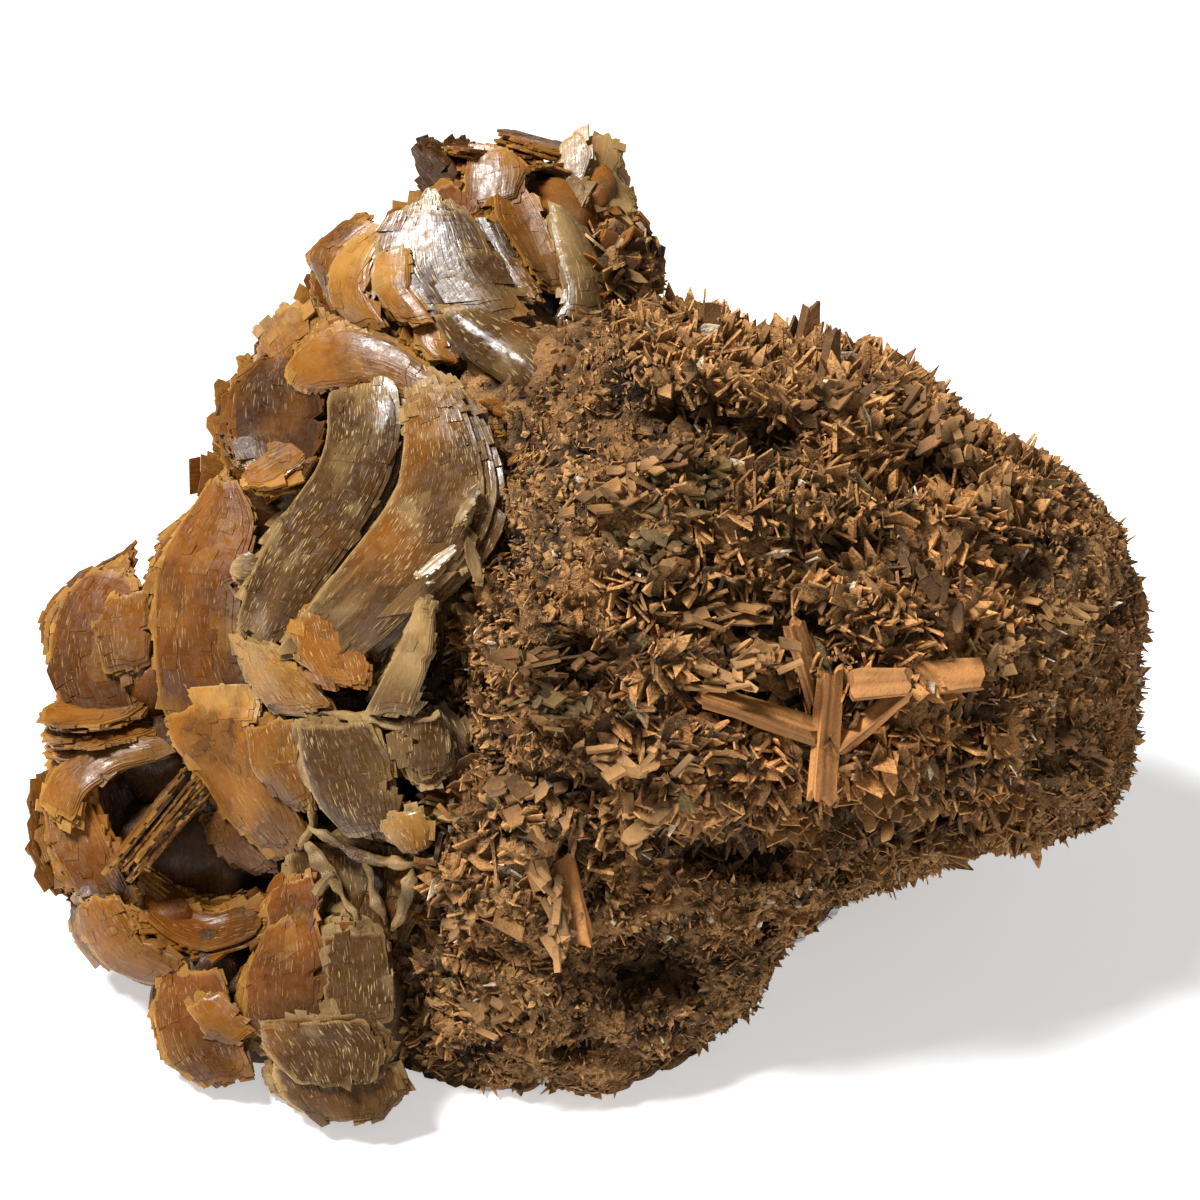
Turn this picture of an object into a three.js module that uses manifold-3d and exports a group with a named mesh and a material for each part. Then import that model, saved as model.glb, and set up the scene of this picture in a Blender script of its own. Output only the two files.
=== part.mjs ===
// A hand specimen of barite. A brown, spongy mass of small blades forms the matrix, and its
// left side carries rosettes of large honey-coloured tabular crystals. Millimetres, +Z up.
import * as THREE from "three";
import { mergeVertices } from "three/addons/utils/BufferGeometryUtils.js";
import Module from "manifold-3d";

const wasm = await Module();
wasm.setup();

// Driving dimensions

const VIEW_TILT = THREE.MathUtils.degToRad(30); // the specimen is drawn as seen from this far above level
const VIEW_DISTANCE = 340; // from the eye to the middle of the specimen
const MIDDLE_HEIGHT = 56; // of the drawing's centre above the surface it rests on
const BOX_CENTRE = [-2.22, -2.07]; // of the whole specimen, measured from the drawing's centre
const JOIN_GAP = 0.3; // between the crystals and the mass they grow on
const GOLDEN_ANGLE = Math.PI * (3 - Math.sqrt(5)); // turns each scattered blade away from the last

// Everything is placed across, up and toward the viewer from the drawing's centre.
function turned(across, up, toward) {
  const sin = Math.sin(VIEW_TILT);
  const cos = Math.cos(VIEW_TILT);
  return new THREE.Vector3(across, up * sin - toward * cos, up * cos + toward * sin);
}

function spot([across, up, toward]) {
  const nearer = 1 - toward / VIEW_DISTANCE;
  const p = turned(across * nearer, up * nearer, toward);
  return p.add(new THREE.Vector3(-BOX_CENTRE[0], -BOX_CENTRE[1], MIDDLE_HEIGHT));
}

// Solids

function solidOf(geometry) {
  const bare = new THREE.BufferGeometry();
  bare.setAttribute("position", geometry.getAttribute("position"));
  if (geometry.index) bare.setIndex(geometry.index);
  const merged = mergeVertices(bare, 1e-4);
  return new wasm.Manifold(
    new wasm.Mesh({
      numProp: 3,
      vertProperties: merged.attributes.position.array,
      triVerts: new Uint32Array(merged.index.array),
    }),
  );
}

function geometryOf(solid) {
  const mesh = solid.getMesh();
  const geometry = new THREE.BufferGeometry();
  geometry.setAttribute("position", new THREE.BufferAttribute(mesh.vertProperties, 3));
  geometry.setIndex(new THREE.BufferAttribute(mesh.triVerts, 1));
  geometry.computeVertexNormals();
  return geometry;
}

function joined(solids) {
  return solids.reduce((whole, next) => whole.add(next));
}

function largestBody(solid) {
  return solid.decompose().reduce((a, b) => (b.volume() > a.volume() ? b : a));
}

function reshape(geometry, move) {
  const position = geometry.getAttribute("position");
  const p = new THREE.Vector3();
  for (let i = 0; i < position.count; i++) {
    p.fromBufferAttribute(position, i);
    move(p);
    position.setXYZ(i, p.x, p.y, p.z);
  }
  return geometry;
}

// Smooth noise from -1 to 1, the same on every run.
function latticeValue(x, y, z) {
  const wave = Math.sin(x * 127.1 + y * 311.7 + z * 74.7) * 43758.5453;
  return 2 * (wave - Math.floor(wave)) - 1;
}

function noise(p, grain) {
  const at = p.clone().divideScalar(grain);
  const low = at.clone().floor();
  const share = at.clone().sub(low);
  let sum = 0;
  for (const dx of [0, 1])
    for (const dy of [0, 1])
      for (const dz of [0, 1]) {
        const weight =
          THREE.MathUtils.smoothstep(dx ? share.x : 1 - share.x, 0, 1) *
          THREE.MathUtils.smoothstep(dy ? share.y : 1 - share.y, 0, 1) *
          THREE.MathUtils.smoothstep(dz ? share.z : 1 - share.z, 0, 1);
        sum += weight * latticeValue(low.x + dx, low.y + dy, low.z + dz);
      }
  return sum;
}

// One tabular crystal: a flat plate with an eight-sided, square or pointed outline, or a cupped one.
// at is its middle, grow points from root to tip, and face is the way its broad side looks.
const SMALL_PLATE = 230; // mm2, under which a plate has four sides
const NARROWED = { side: 0.3, tip: 0.22 }; // how far the corners of its outline draw in

function plate({ at, grow, face, size, cup = 0, point = 0, square = false, fat = 0 }) {
  const [width, length, thick] = size;
  const sides = square || width * length < SMALL_PLATE ? 1 : 2;
  const box = new THREE.BoxGeometry(2, 2, 1, sides, sides, 1);
  const taper = square ? 0.4 : 1;
  const normal = turned(...face).normalize();
  const tip = turned(...grow).projectOnPlane(normal).normalize();
  const side = new THREE.Vector3().crossVectors(tip, normal);
  const centre = spot(at);
  return reshape(box, (p) => {
    const u = p.x;
    const v = p.y;
    const halfWidth = (width / 2) * (1 - NARROWED.side * taper * v * v) * (1 - point * Math.max(0, v));
    const halfLength = (length / 2) * (1 - NARROWED.tip * taper * u * u);
    const bow = (cup * (u * u + v * v)) / 2;
    const depth = p.z * (thick + 2 * fat) + bow;
    p.copy(centre)
      .addScaledVector(side, u * (halfWidth + fat))
      .addScaledVector(tip, v * (halfLength + fat))
      .addScaledVector(normal, depth);
  });
}

// A stack of plates like the leaves of a book, each smaller and turned a little from the last.
const LEAF_SHRINK = 0.06;

function sheaf({ count = 1, step = 2.5, spread = 0, ...first }, fat = 0) {
  const normal = new THREE.Vector3(...first.face).normalize();
  const tip = new THREE.Vector3(...first.grow).normalize();
  const hinge = new THREE.Vector3().crossVectors(normal, tip).normalize();
  const leaves = [];
  for (let i = 0; i < count; i++) {
    const turn = THREE.MathUtils.degToRad(spread * i);
    const face = normal.clone().applyAxisAngle(hinge, turn).toArray();
    const grow = tip.clone().applyAxisAngle(hinge, turn).toArray();
    const at = new THREE.Vector3(...first.at).addScaledVector(normal, -step * i).toArray();
    const [width, length, thick] = first.size;
    const shrink = 1 - LEAF_SHRINK * i;
    const size = [width * shrink, length * shrink, thick];
    leaves.push(solidOf(plate({ ...first, at, face, grow, size, fat })));
  }
  return leaves;
}

function leaf(at, grow, face, size, more = {}) {
  return { at, grow, face, size, ...more };
}

// A rough lump, such as the roots of a rosette's crystals run into.
const LUMP_ROUGHNESS = 0.12;
const CORE_FACETS = 0;
const LUMP_FACETS = 1;

function lump({ at, radii }, detail, fat = 0) {
  const ball = new THREE.IcosahedronGeometry(1, detail);
  return solidOf(
    reshape(ball, (p) => {
      const swell = 1 + LUMP_ROUGHNESS * noise(p, 0.45);
      const [a, b, c] = radii.map((r, i) => p.getComponent(i) * (r * swell + fat));
      p.copy(spot([at[0] + a, at[1] + b, at[2] + c]));
    }),
  );
}

function core(at, radii) {
  return { at, radii };
}

// The matrix

// Its outline across and up, as the viewer sees it, going clockwise from the upper left.
const OUTLINE = [
  [-12, 40], [-3, 42], [7, 43.5], [16, 43], [21, 39.5], [30, 38.5], [38, 37], [46, 32.5], [54, 26.5],
  [62, 22], [70, 19], [75, 13], [78.5, 6], [81, -3], [80, -15], [79, -27], [74, -34], [65, -36.5],
  [58, -36], [50, -39.5], [42, -43], [33, -46], [26, -53], [23, -61], [14, -68], [2, -74], [-14, -75],
  [-28, -75], [-40, -68], [-47, -56], [-50, -40], [-50, -22], [-47, -6], [-42, 10], [-33, 24], [-22, 35],
];
const OUTLINE_CENTRE = [8, -14];
// How far the mass bulges toward the viewer and away, at places across it.
const FRONT_DEPTHS = [[-50, 2], [-36, 9], [-22, 25], [-8, 38], [10, 43], [45, 38], [82, 26]];
const BACK_DEPTHS = [[-50, 26], [-22, 38], [10, 44], [45, 38], [82, 26]];
const BOXINESS = 0.74; // 1 is an ellipsoid, less is boxier
const MATRIX_FACETS = 7;
// Under the ridge that crosses the front, the mass is hollowed back over its foot.
const UNDERCUT = { from: -24, to: -44, depth: 13, left: -24, right: 4 };

function depthAt(stations, across) {
  for (let i = 1; i < stations.length; i++) {
    const [start, end] = [stations[i - 1], stations[i]];
    if (across > end[0] && i < stations.length - 1) continue;
    const share = THREE.MathUtils.clamp((across - start[0]) / (end[0] - start[0]), 0, 1);
    return THREE.MathUtils.lerp(start[1], end[1], share);
  }
}

function outlineReach(angle) {
  const ray = [Math.cos(angle), Math.sin(angle)];
  let reach = 0;
  OUTLINE.forEach((start, i) => {
    const end = OUTLINE[(i + 1) % OUTLINE.length];
    const s = [start[0] - OUTLINE_CENTRE[0], start[1] - OUTLINE_CENTRE[1]];
    const e = [end[0] - start[0], end[1] - start[1]];
    const cross = ray[0] * e[1] - ray[1] * e[0];
    const far = (s[0] * e[1] - s[1] * e[0]) / cross;
    const share = (s[0] * ray[1] - s[1] * ray[0]) / cross;
    if (far > 0 && share >= 0 && share <= 1) reach = Math.max(reach, far);
  });
  return reach;
}

// Ledges run through the mass like the steps of a worn stair.
const LEDGE_STEP = 11;
const LEDGE_DEPTH = 2.8;
const LEDGE_NORMAL = new THREE.Vector3(0.25, 0.9, 0.35);

function ledge(p) {
  const height = p.dot(LEDGE_NORMAL) / LEDGE_STEP + 0.35 * noise(p, 26);
  return LEDGE_DEPTH * (height - Math.floor(height) - 0.5);
}

// The mass's surface in a direction from its middle, where z points toward the viewer.
function matrixSurface(way, fat = 0) {
  const flat = Math.hypot(way.x, way.y);
  const angle = Math.atan2(way.y, way.x);
  const reach = flat > 1e-6 ? outlineReach(angle) * flat ** BOXINESS : 0;
  const across = OUTLINE_CENTRE[0] + reach * Math.cos(angle);
  const up = OUTLINE_CENTRE[1] + reach * Math.sin(angle);
  const depth = depthAt(way.z > 0 ? FRONT_DEPTHS : BACK_DEPTHS, across);
  const under = THREE.MathUtils.smoothstep(-up, -UNDERCUT.from, -UNDERCUT.to);
  const inward = THREE.MathUtils.smoothstep(across, UNDERCUT.left, UNDERCUT.right);
  const hollow = way.z > 0 ? UNDERCUT.depth * under * inward * way.z : 0;
  const out = new THREE.Vector3(across, up, Math.sign(way.z) * depth * Math.abs(way.z) ** BOXINESS - hollow);
  const rough = 3.2 * noise(out, 21) + 1.6 * noise(out, 8) + ledge(out);
  const inside = 1 - 0.75 * flat ** 6; // the outline itself stays nearly as drawn
  return out.addScaledVector(way.clone().normalize(), rough * inside + fat);
}

function matrixBall(fat = 0) {
  const ball = new THREE.IcosahedronGeometry(1, MATRIX_FACETS);
  return solidOf(reshape(ball, (p) => p.copy(spot(matrixSurface(p, fat).toArray()))));
}

// How near the mass's front comes to the viewer at a place in the drawing.
function frontAt(across, up) {
  const [a, b] = [across - OUTLINE_CENTRE[0], up - OUTLINE_CENTRE[1]];
  const angle = Math.atan2(b, a);
  const share = Math.min(1, Math.hypot(a, b) / outlineReach(angle));
  const flat = share ** (1 / BOXINESS);
  const way = new THREE.Vector3(flat * Math.cos(angle), flat * Math.sin(angle), Math.sqrt(1 - flat * flat));
  return matrixSurface(way).z;
}

// The third number of a place on the mass is its rise above the surface there.
function onFront({ at, ...rest }) {
  return { ...rest, at: [at[0], at[1], frontAt(at[0], at[1]) + at[2]] };
}

// Lumps that stand out of the mass
const MATRIX_LUMPS = [
  core([2.5, 48, -8], [5.5, 9, 12]), // the shoulder under the crown
  core([16, -42, -32], [24, 22, 20]), // the foot behind
];

// Hollows between the blades, where the photograph is darkest
const MATRIX_HOLLOWS = [
  core([12, 27, 1], [10, 4.5, 8]),
  core([25, 23, 1], [6, 4.5, 8]),
  core([50, 21, 0], [7, 4.5, 7]),
  core([29, -3.5, 1], [8, 3.5, 7]),
  core([22, -14, 1], [9, 4, 8]),
  core([8, -56, 0], [9, 5, 9]), // the cave in the underside
];

// Single blades large enough to tell apart, on the ledges and in the hollows
const MATRIX_BLADES = {
  crossing_blade_left: leaf([24, -17, 2.5], [-0.85, 0.45, 0.2], [0.3, 0.75, 0.6], [6, 19, 2.4]),
  crossing_blade_right: leaf([34, -20, 2.5], [0.15, 0.95, 0.1], [0.5, 0, 0.85], [5.5, 19, 2.4]),
  blade_behind_crossing: leaf([31, -9.5, 1], [-0.3, 0.9, 0.2], [0.75, 0.1, 0.65], [6, 13, 1.8]),
  diagonal_blade: leaf([40.5, -18, 1.5], [0.75, 0.65, 0], [-0.5, 0.6, 0.65], [5, 15, 1.8]),
  square_blade_left: leaf([42, -12.5, 3], [0.95, 0.1, 0.2], [-0.1, 0.3, 0.95], [6, 9, 2.2]),
  square_blade_right: leaf([52, -11.5, 3], [0.95, 0.15, 0], [0.1, 0.35, 0.9], [7, 11, 2.2]),
  square_blade_end: leaf([60, -8, 2], [0.85, 0.5, 0], [0.3, 0.2, 0.9], [6, 8, 2]),
  shelf_blade: leaf([6, -22.5, 3], [0.9, -0.1, 0.35], [-0.05, 0.85, 0.5], [11, 15, 2.6]),
  slab_above_shelf: leaf([23, -8.5, 2], [0.9, 0.35, 0.1], [-0.2, 0.75, 0.6], [8, 17, 3]),
  yellow_ledge: leaf([-6, -15, 2], [0.95, 0.1, 0.2], [0, 0.9, 0.45], [9, 13, 2.2]),
  dark_ledge: leaf([-7, -8.5, 1.5], [0.95, 0.15, 0.1], [0, 0.9, 0.4], [8, 15, 2]),
  pale_ledge: leaf([19, -1.5, 1.5], [0.95, 0.2, 0], [0, 0.85, 0.5], [7, 16, 2]),
  grey_flake: leaf([8, 9, 1.5], [-0.8, 0.5, 0], [-0.1, 0.7, 0.7], [8, 12, 2]),
  sandy_flake: leaf([3, 18, 1], [0.9, 0.4, 0], [-0.2, 0.7, 0.7], [8, 13, 2]),
  top_spire: leaf([31, 38.5, 1.5], [0.15, 1, 0], [0.4, 0, 0.9], [7, 13, 3], { point: 0.6 }),
  top_spire_side: leaf([34.5, 35.5, 2], [0.3, 1, 0], [0.7, 0, 0.7], [5, 11, 2], { point: 0.5 }),
  top_peak: leaf([16.5, 41, 0.5], [0.05, 1, 0], [0.3, 0, 0.95], [6, 7, 2.5], { point: 0.4 }),
  ridge_blade_1: leaf([42, 32, 2], [0.3, 0.9, 0.2], [0.2, 0.3, 0.9], [6, 9, 1.6]),
  ridge_blade_2: leaf([47, 26, 2], [0, 0.9, 0.3], [-0.5, 0.3, 0.8], [7, 13, 1.8]),
  ridge_blade_3: leaf([54, 22, 2], [0, 0.95, 0.2], [0.1, 0.2, 0.95], [7, 12, 1.8]),
  ridge_blade_4: leaf([60, 16, 2.5], [0.2, 0.9, 0.2], [0.4, 0.1, 0.9], [6, 9, 1.6]),
  slope_tooth: leaf([61.5, 21.5, 1], [0.5, 0.85, 0], [0.3, -0.1, 0.95], [4, 6, 1.6], { point: 0.5 }),
  long_blade_upper: leaf([33, 30, 2], [0.85, 0.4, 0], [-0.2, 0.5, 0.85], [5, 12, 1.6]),
  hollow_blade_1: leaf([11, 22, 2], [0.7, 0.6, 0.2], [-0.5, 0.6, 0.6], [6, 11, 1.6]),
  hollow_blade_2: leaf([16, 18.5, 2], [0.75, 0.4, 0.3], [0.1, 0.7, 0.7], [7, 12, 1.6]),
  brown_plate: leaf([48, 3.5, 2.5], [0.5, -0.8, 0.2], [-0.6, -0.2, 0.8], [6, 13, 1.6]),
  lip_left: leaf([-9, -31, 0.5], [0.5, -0.3, 0.6], [0.1, 0.7, 0.7], [9, 13, 3]),
  lip_middle: leaf([9, -31, 0.5], [-0.3, -0.6, 0.6], [0, 0.7, 0.7], [9, 12, 3]),
  lip_right: leaf([45, -29, 0.5], [0.6, -0.4, 0.6], [-0.2, 0.7, 0.6], [9, 12, 3]),
  foot_plates: leaf([-7, -46, 2], [0.2, -0.95, 0.2], [-0.5, 0, 0.85], [5, 15, 1.6], { count: 2, step: 3.4 }),
  foot_ledge: leaf([-18, -46, 0.5], [0.9, 0.1, 0.4], [-0.1, 0.8, 0.6], [9, 13, 3]),
  foot_ledge_low: leaf([-14, -60, 0.5], [0.9, 0.05, 0.4], [0.1, 0.8, 0.6], [9, 14, 3]),
  end_blade_1: leaf([68, -1, 1], [0.8, 0.1, 0.5], [0.2, 0.8, 0.5], [8, 10, 2]),
  end_blade_2: leaf([70, -20, 1], [0.8, -0.2, 0.5], [0.2, 0.8, 0.5], [9, 10, 2]),
};

// Blades scattered over the whole mass, standing at many angles
const SCATTER = { count: 26, rise: -1, width: [5, 8], length: [6, 9], thick: 1.8 };

function scatteredBlade(i) {
  const height = 1 - (2 * (i + 0.5)) / SCATTER.count;
  const ring = Math.sqrt(1 - height * height);
  const way = new THREE.Vector3(ring * Math.cos(i * GOLDEN_ANGLE), ring * Math.sin(i * GOLDEN_ANGLE), height);
  const chance = (salt) => latticeValue(i, salt, 0);
  const lean = new THREE.Vector3(chance(1), chance(2), chance(3));
  const grow = way.clone().addScaledVector(lean, 0.9);
  const face = new THREE.Vector3(chance(4), 0.6 + 0.4 * chance(5), chance(6)).cross(grow).normalize();
  const width = THREE.MathUtils.lerp(...SCATTER.width, 0.5 + 0.5 * chance(7));
  const length = THREE.MathUtils.lerp(...SCATTER.length, 0.5 + 0.5 * chance(8));
  const at = matrixSurface(way, SCATTER.rise).toArray();
  return leaf(at, grow.toArray(), face.toArray(), [width, length, SCATTER.thick]);
}

// The rosettes, from the crown down to the foot

const CROWN = {
  cores: [core([-7, 54, -9], [10, 11, 11]), core([0, 60, -9], [6, 8, 9])],
  leaves: [
    leaf([-24.5, 65.5, -5], [-0.75, 0.6, 0.1], [-0.45, -0.45, 0.75], [9, 15, 2], { count: 2, spread: -5 }),
    leaf([-21.5, 61, -4], [-0.6, 0.75, 0], [-0.6, 0.3, 0.7], [8, 12, 2]),
    leaf([-17, 67, -8], [-0.7, 0.15, 0.7], [0.1, 0.95, 0.25], [15, 18, 1.6], { count: 3, step: 2.3 }),
    leaf([-10, 69, -11], [-0.3, 0.2, 0.9], [0.25, 0.9, 0.3], [14, 14, 1.8]),
    leaf([-15.5, 62.5, 0], [0, 1, 0], [-0.15, 0.1, 1], [12, 12, 2.2]),
    leaf([-11.5, 54, 3.5], [-0.3, 0.95, 0.1], [-0.5, 0.05, 0.8], [12, 20, 2.2], { cup: 2 }),
    leaf([-18, 55, 0], [-0.5, 0.8, 0.1], [-0.5, 0.1, 0.8], [11, 14, 2.2]),
    leaf([-4.5, 67.5, -9], [0.1, 1, 0], [-0.2, 0.3, 0.9], [10, 11, 2.4]),
    leaf([2, 64.5, -8], [0.35, 0.9, 0], [0.4, 0, 0.9], [9, 13, 3]),
    leaf([-2.5, 53, 0], [0.2, -0.9, 0.2], [0.3, 0.2, 0.9], [9, 20, 4]),
    leaf([-12, 62, -19], [-0.4, 0.8, -0.4], [0.3, 0.4, -0.8], [15, 19, 2.6]),
    leaf([-1, 60, -20], [0.3, 0.8, -0.5], [-0.7, 0.2, -0.6], [12, 16, 2.6]),
    leaf([-18, 57, -14], [-0.9, 0.3, -0.3], [-0.3, -0.4, -0.85], [14, 17, 2.6]),
  ],
};

const UPPER = {
  cores: [core([-22, 42, -4], [14, 13, 14]), core([-14, 38, 6], [9, 9, 9])],
  leaves: [
    leaf([-39.5, 52.5, -8], [-0.8, 0.55, 0.1], [-0.4, 0.3, 0.85], [10, 13, 2.6]),
    leaf([-34.5, 47.5, 0], [-0.7, 0.7, 0.1], [-0.6, -0.05, 0.8], [13, 17, 2.6]),
    leaf([-29, 53, 2], [-0.5, 0.85, 0], [-0.5, 0.1, 0.85], [11, 14, 2.2]),
    leaf([-23, 51, 6], [-0.1, 1, 0], [-0.05, 0.2, 0.97], [20, 20, 3], { cup: -3 }),
    leaf([-23, 58, 1], [-0.05, 1, 0], [-0.2, 0.1, 0.95], [10, 10, 2], { point: 0.4 }),
    leaf([-12, 48, 6], [-0.35, 0.9, 0], [0.5, 0.35, 0.78], [9, 19, 2.5]),
    leaf([-30, 42, 6], [-0.55, 0.8, 0], [-0.3, 0.2, 0.9], [12, 14, 2.4]),
    leaf([-22, 38, 13], [-0.4, 0.9, 0], [-0.5, 0.2, 0.85], [8, 11, 2]),
    leaf([-16, 37, 13], [-0.75, 0.6, 0.15], [0.3, 0.5, 0.8], [8, 25, 3]),
    leaf([-8, 37, 10], [-0.6, 0.75, 0], [0.35, 0.45, 0.8], [7, 16, 3]),
    leaf([-12, 28.5, 20], [-0.3, -0.5, 0.8], [0.1, 0.85, 0.5], [11, 9, 2.4], { count: 3, spread: 8 }),
    leaf([-24, 52, -8], [-0.2, 0.95, -0.1], [0.2, 0.1, 0.95], [20, 20, 2.6], { count: 2, step: 9 }),
    leaf([-36, 44, -14], [-0.9, 0.4, -0.2], [0.35, 0.3, 0.9], [17, 18, 2.6], { count: 2, step: 8 }),
  ],
};

const MIDDLE = {
  cores: [core([-34, 18, 0], [18, 18, 17]), core([-24, 15, 12], [11, 15, 12])],
  leaves: [
    leaf([-47, 40, -6], [-0.6, 0.75, 0], [-0.4, 0.4, 0.8], [12, 12, 2.4]),
    leaf([-37, 35, 8], [-0.15, 0.95, 0.25], [0.05, -0.15, 1], [21, 17, 2.6], { cup: 2.5 }),
    leaf([-47.5, 27, 0], [-1, 0.15, 0], [-0.35, -0.2, 0.9], [19, 19, 2.4], { cup: 1.5 }),
    leaf([-48, 20, 5], [-0.9, -0.3, 0.2], [-0.3, 0.6, 0.75], [10, 14, 2.2], { count: 2, spread: 6 }),
    leaf([-41, 10, 11], [-0.6, -0.8, 0.05], [-0.35, 0.1, 0.93], [15, 37, 3.2]),
    leaf([-31.5, 3, 18], [-0.65, -0.76, 0.05], [-0.3, 0.1, 0.95], [16, 34, 3.4]),
    leaf([-27, 24, 15], [0.1, 1, 0], [0.15, 0.15, 0.97], [20, 22, 5]),
    leaf([-53, 4.5, 5], [-1, 0, 0], [-0.2, 0.1, 0.95], [5, 7, 3]),
    leaf([-51, -8, 9], [-0.5, -0.85, 0], [-0.4, -0.1, 0.9], [10, 14, 2.8]),
    leaf([-38, -8, 17], [-0.6, -0.7, 0.1], [-0.1, -0.2, 0.97], [17, 18, 3.5]),
    leaf([-26, -6, 23], [0.1, -0.9, 0], [0.1, -0.1, 0.98], [12, 19, 3.5]),
    leaf([-46, 29, -15], [-0.85, 0.5, -0.1], [0.35, 0.4, 0.85], [22, 22, 2.6], { count: 2, step: 9 }),
    leaf([-49, 11, -11], [-0.97, -0.1, 0], [0.2, -0.1, 0.97], [22, 20, 2.6], { count: 3, step: 9 }),
  ],
};

const LEFT = {
  cores: [core([-47, -16, -4], [14, 21, 14])],
  leaves: [
    leaf([-58, 2, -2], [-0.1, 1, 0], [-0.35, 0.05, 0.93], [16, 35, 2.8]),
    leaf([-63.5, -5, -1], [0, 1, 0], [-0.8, 0, 0.6], [8, 24, 2.4]),
    leaf([-56, -13.5, 7], [-0.2, -0.5, 0.85], [-0.1, 0.85, 0.5], [13, 10, 2.4], { count: 2, step: 3 }),
    leaf([-59, -22, 5], [-0.6, -0.75, 0], [-0.3, 0.3, 0.9], [12, 16, 3]),
    leaf([-49.5, -25, 11], [0, -1, 0.05], [-0.25, -0.1, 0.96], [10, 18, 2.4]),
    leaf([-51, -34, 7], [-0.5, -0.85, 0], [-0.2, -0.3, 0.93], [12, 15, 2.4]),
    leaf([-40, -25, 15], [0, -1, 0], [-0.2, -0.05, 0.97], [13, 20, 2.8], { cup: 1 }),
    leaf([-32, -25, 21], [-0.1, -1, 0], [-0.25, 0.05, 0.96], [13, 20, 3]),
    leaf([-26, -19, 25], [0.1, -1, 0], [-0.1, 0.1, 0.97], [10, 20, 3]),
    leaf([-39, -38, 15], [-0.5, -0.8, 0.1], [-0.1, 0.3, 0.95], [16, 15, 3]),
    leaf([-45, -36, 13], [-0.3, -0.95, 0.1], [-0.3, 0.1, 0.95], [14, 17, 3]),
    leaf([-57, -4, -16], [-0.9, 0.3, -0.2], [0.3, 0.2, 0.93], [22, 18, 2.6], { count: 3, step: 8 }),
  ],
};

const OUTER = {
  cores: [core([-66, -13, -13], [9, 11, 11])],
  leaves: [
    leaf([-74.5, -4, -9], [-0.3, 0.9, 0], [-0.25, 0.1, 0.96], [15, 19, 2.4]),
    leaf([-69, 0, -14], [0, 1, 0], [-0.2, 0.2, 0.96], [12, 13, 2.4], { point: 0.3 }),
    leaf([-76, -17, -4], [-0.95, 0.1, 0.1], [-0.1, 0.9, 0.4], [13, 18, 2.2], { count: 3, step: 2.8 }),
    leaf([-70, -9, -5], [-0.6, 0.3, 0.55], [0.5, 0.55, 0.65], [8, 14, 1.8], { count: 2 }),
    leaf([-73, -8, -20], [-0.8, 0.5, -0.3], [0.3, 0.5, 0.8], [17, 18, 2.6], { count: 3, step: 7 }),
  ],
};

const BOWL = {
  cores: [core([-60, -38, -6], [15, 13, 11]), core([-66, -50, -4], [10, 9, 10])],
  leaves: [
    leaf([-73, -25.5, 0], [-0.85, -0.4, 0.2], [-0.25, 0.9, 0.3], [18, 23, 2.6], { cup: -2 }),
    leaf([-75, -31, 2], [-0.8, -0.2, 0.4], [-0.1, -0.35, 0.9], [14, 17, 2.2]),
    leaf([-77, -39, 2], [-0.95, -0.15, 0.1], [-0.15, -0.2, 0.95], [15, 14, 2.2], { count: 2, step: 3.4 }),
    leaf([-68, -34, 7], [-0.65, -0.75, 0.15], [-0.75, 0.62, 0.2], [8, 19, 1.6], { count: 2, step: 2.2 }),
    leaf([-73, -50, 2], [-0.75, -0.65, 0], [-0.35, -0.15, 0.92], [15, 18, 2.4]),
    leaf([-59, -45, 9], [-0.15, -0.9, 0.35], [0, 0.4, 0.9], [20, 15, 2.4], { cup: 2.5 }),
    leaf([-61, -54, 7], [-0.2, -0.9, 0.3], [-0.1, 0.2, 0.95], [15, 12, 2.2]),
    leaf([-70, -38, -15], [-0.9, -0.1, -0.3], [0.3, 0.2, 0.93], [22, 20, 2.6], { count: 3, step: 8 }),
  ],
};

const FOOT = {
  cores: [core([-47, -60, 4], [13, 13, 13]), core([-36, -60, 15], [10, 13, 9])],
  leaves: [
    leaf([-59.5, -64, 10], [-0.1, -0.95, 0.25], [-0.25, 0.1, 0.96], [14, 17, 2.8]),
    leaf([-53, -69, 15], [-0.2, -0.9, 0.2], [0, 0.1, 0.97], [13, 10, 2.6]),
    leaf([-45.5, -45, 13], [-0.5, 0.6, 0.3], [-0.4, 0.1, 0.9], [9, 14, 2.4]),
    leaf([-48, -58, 16], [-0.55, -0.6, 0.2], [-0.45, 0, 0.9], [13, 19, 2.6], { cup: -1 }),
    leaf([-38.5, -58, 21], [-0.05, -0.9, 0.3], [0.1, 0.1, 0.98], [14, 18, 3]),
    leaf([-39, -68, 23], [-0.3, -0.85, 0.3], [0.05, 0.3, 0.95], [19, 15, 3.4]),
    leaf([-38.5, -74.5, 23], [-0.2, -0.95, 0], [0, 0.2, 0.95], [20, 10, 4]),
    leaf([-30, -46, 22], [0.1, -0.9, 0.3], [-0.3, 0, 0.95], [12, 18, 3]),
    leaf([-30, -36, 23], [0, -0.6, 0.7], [0, 0.75, 0.65], [16, 10, 3]),
    leaf([-53, -62, -12], [-0.8, -0.4, -0.3], [0.2, 0.3, 0.93], [20, 20, 2.6], { count: 3, step: 8 }),
  ],
};

const ROSETTES = [CROWN, UPPER, MIDDLE, LEFT, OUTER, BOWL, FOOT];

// Below the surface it rests on, everything is broken off flat.
const GROUND_SIZE = 400;

function groundBlock() {
  const block = new THREE.BoxGeometry(GROUND_SIZE, GROUND_SIZE, GROUND_SIZE);
  return solidOf(block.translate(0, 0, -GROUND_SIZE / 2));
}

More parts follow.
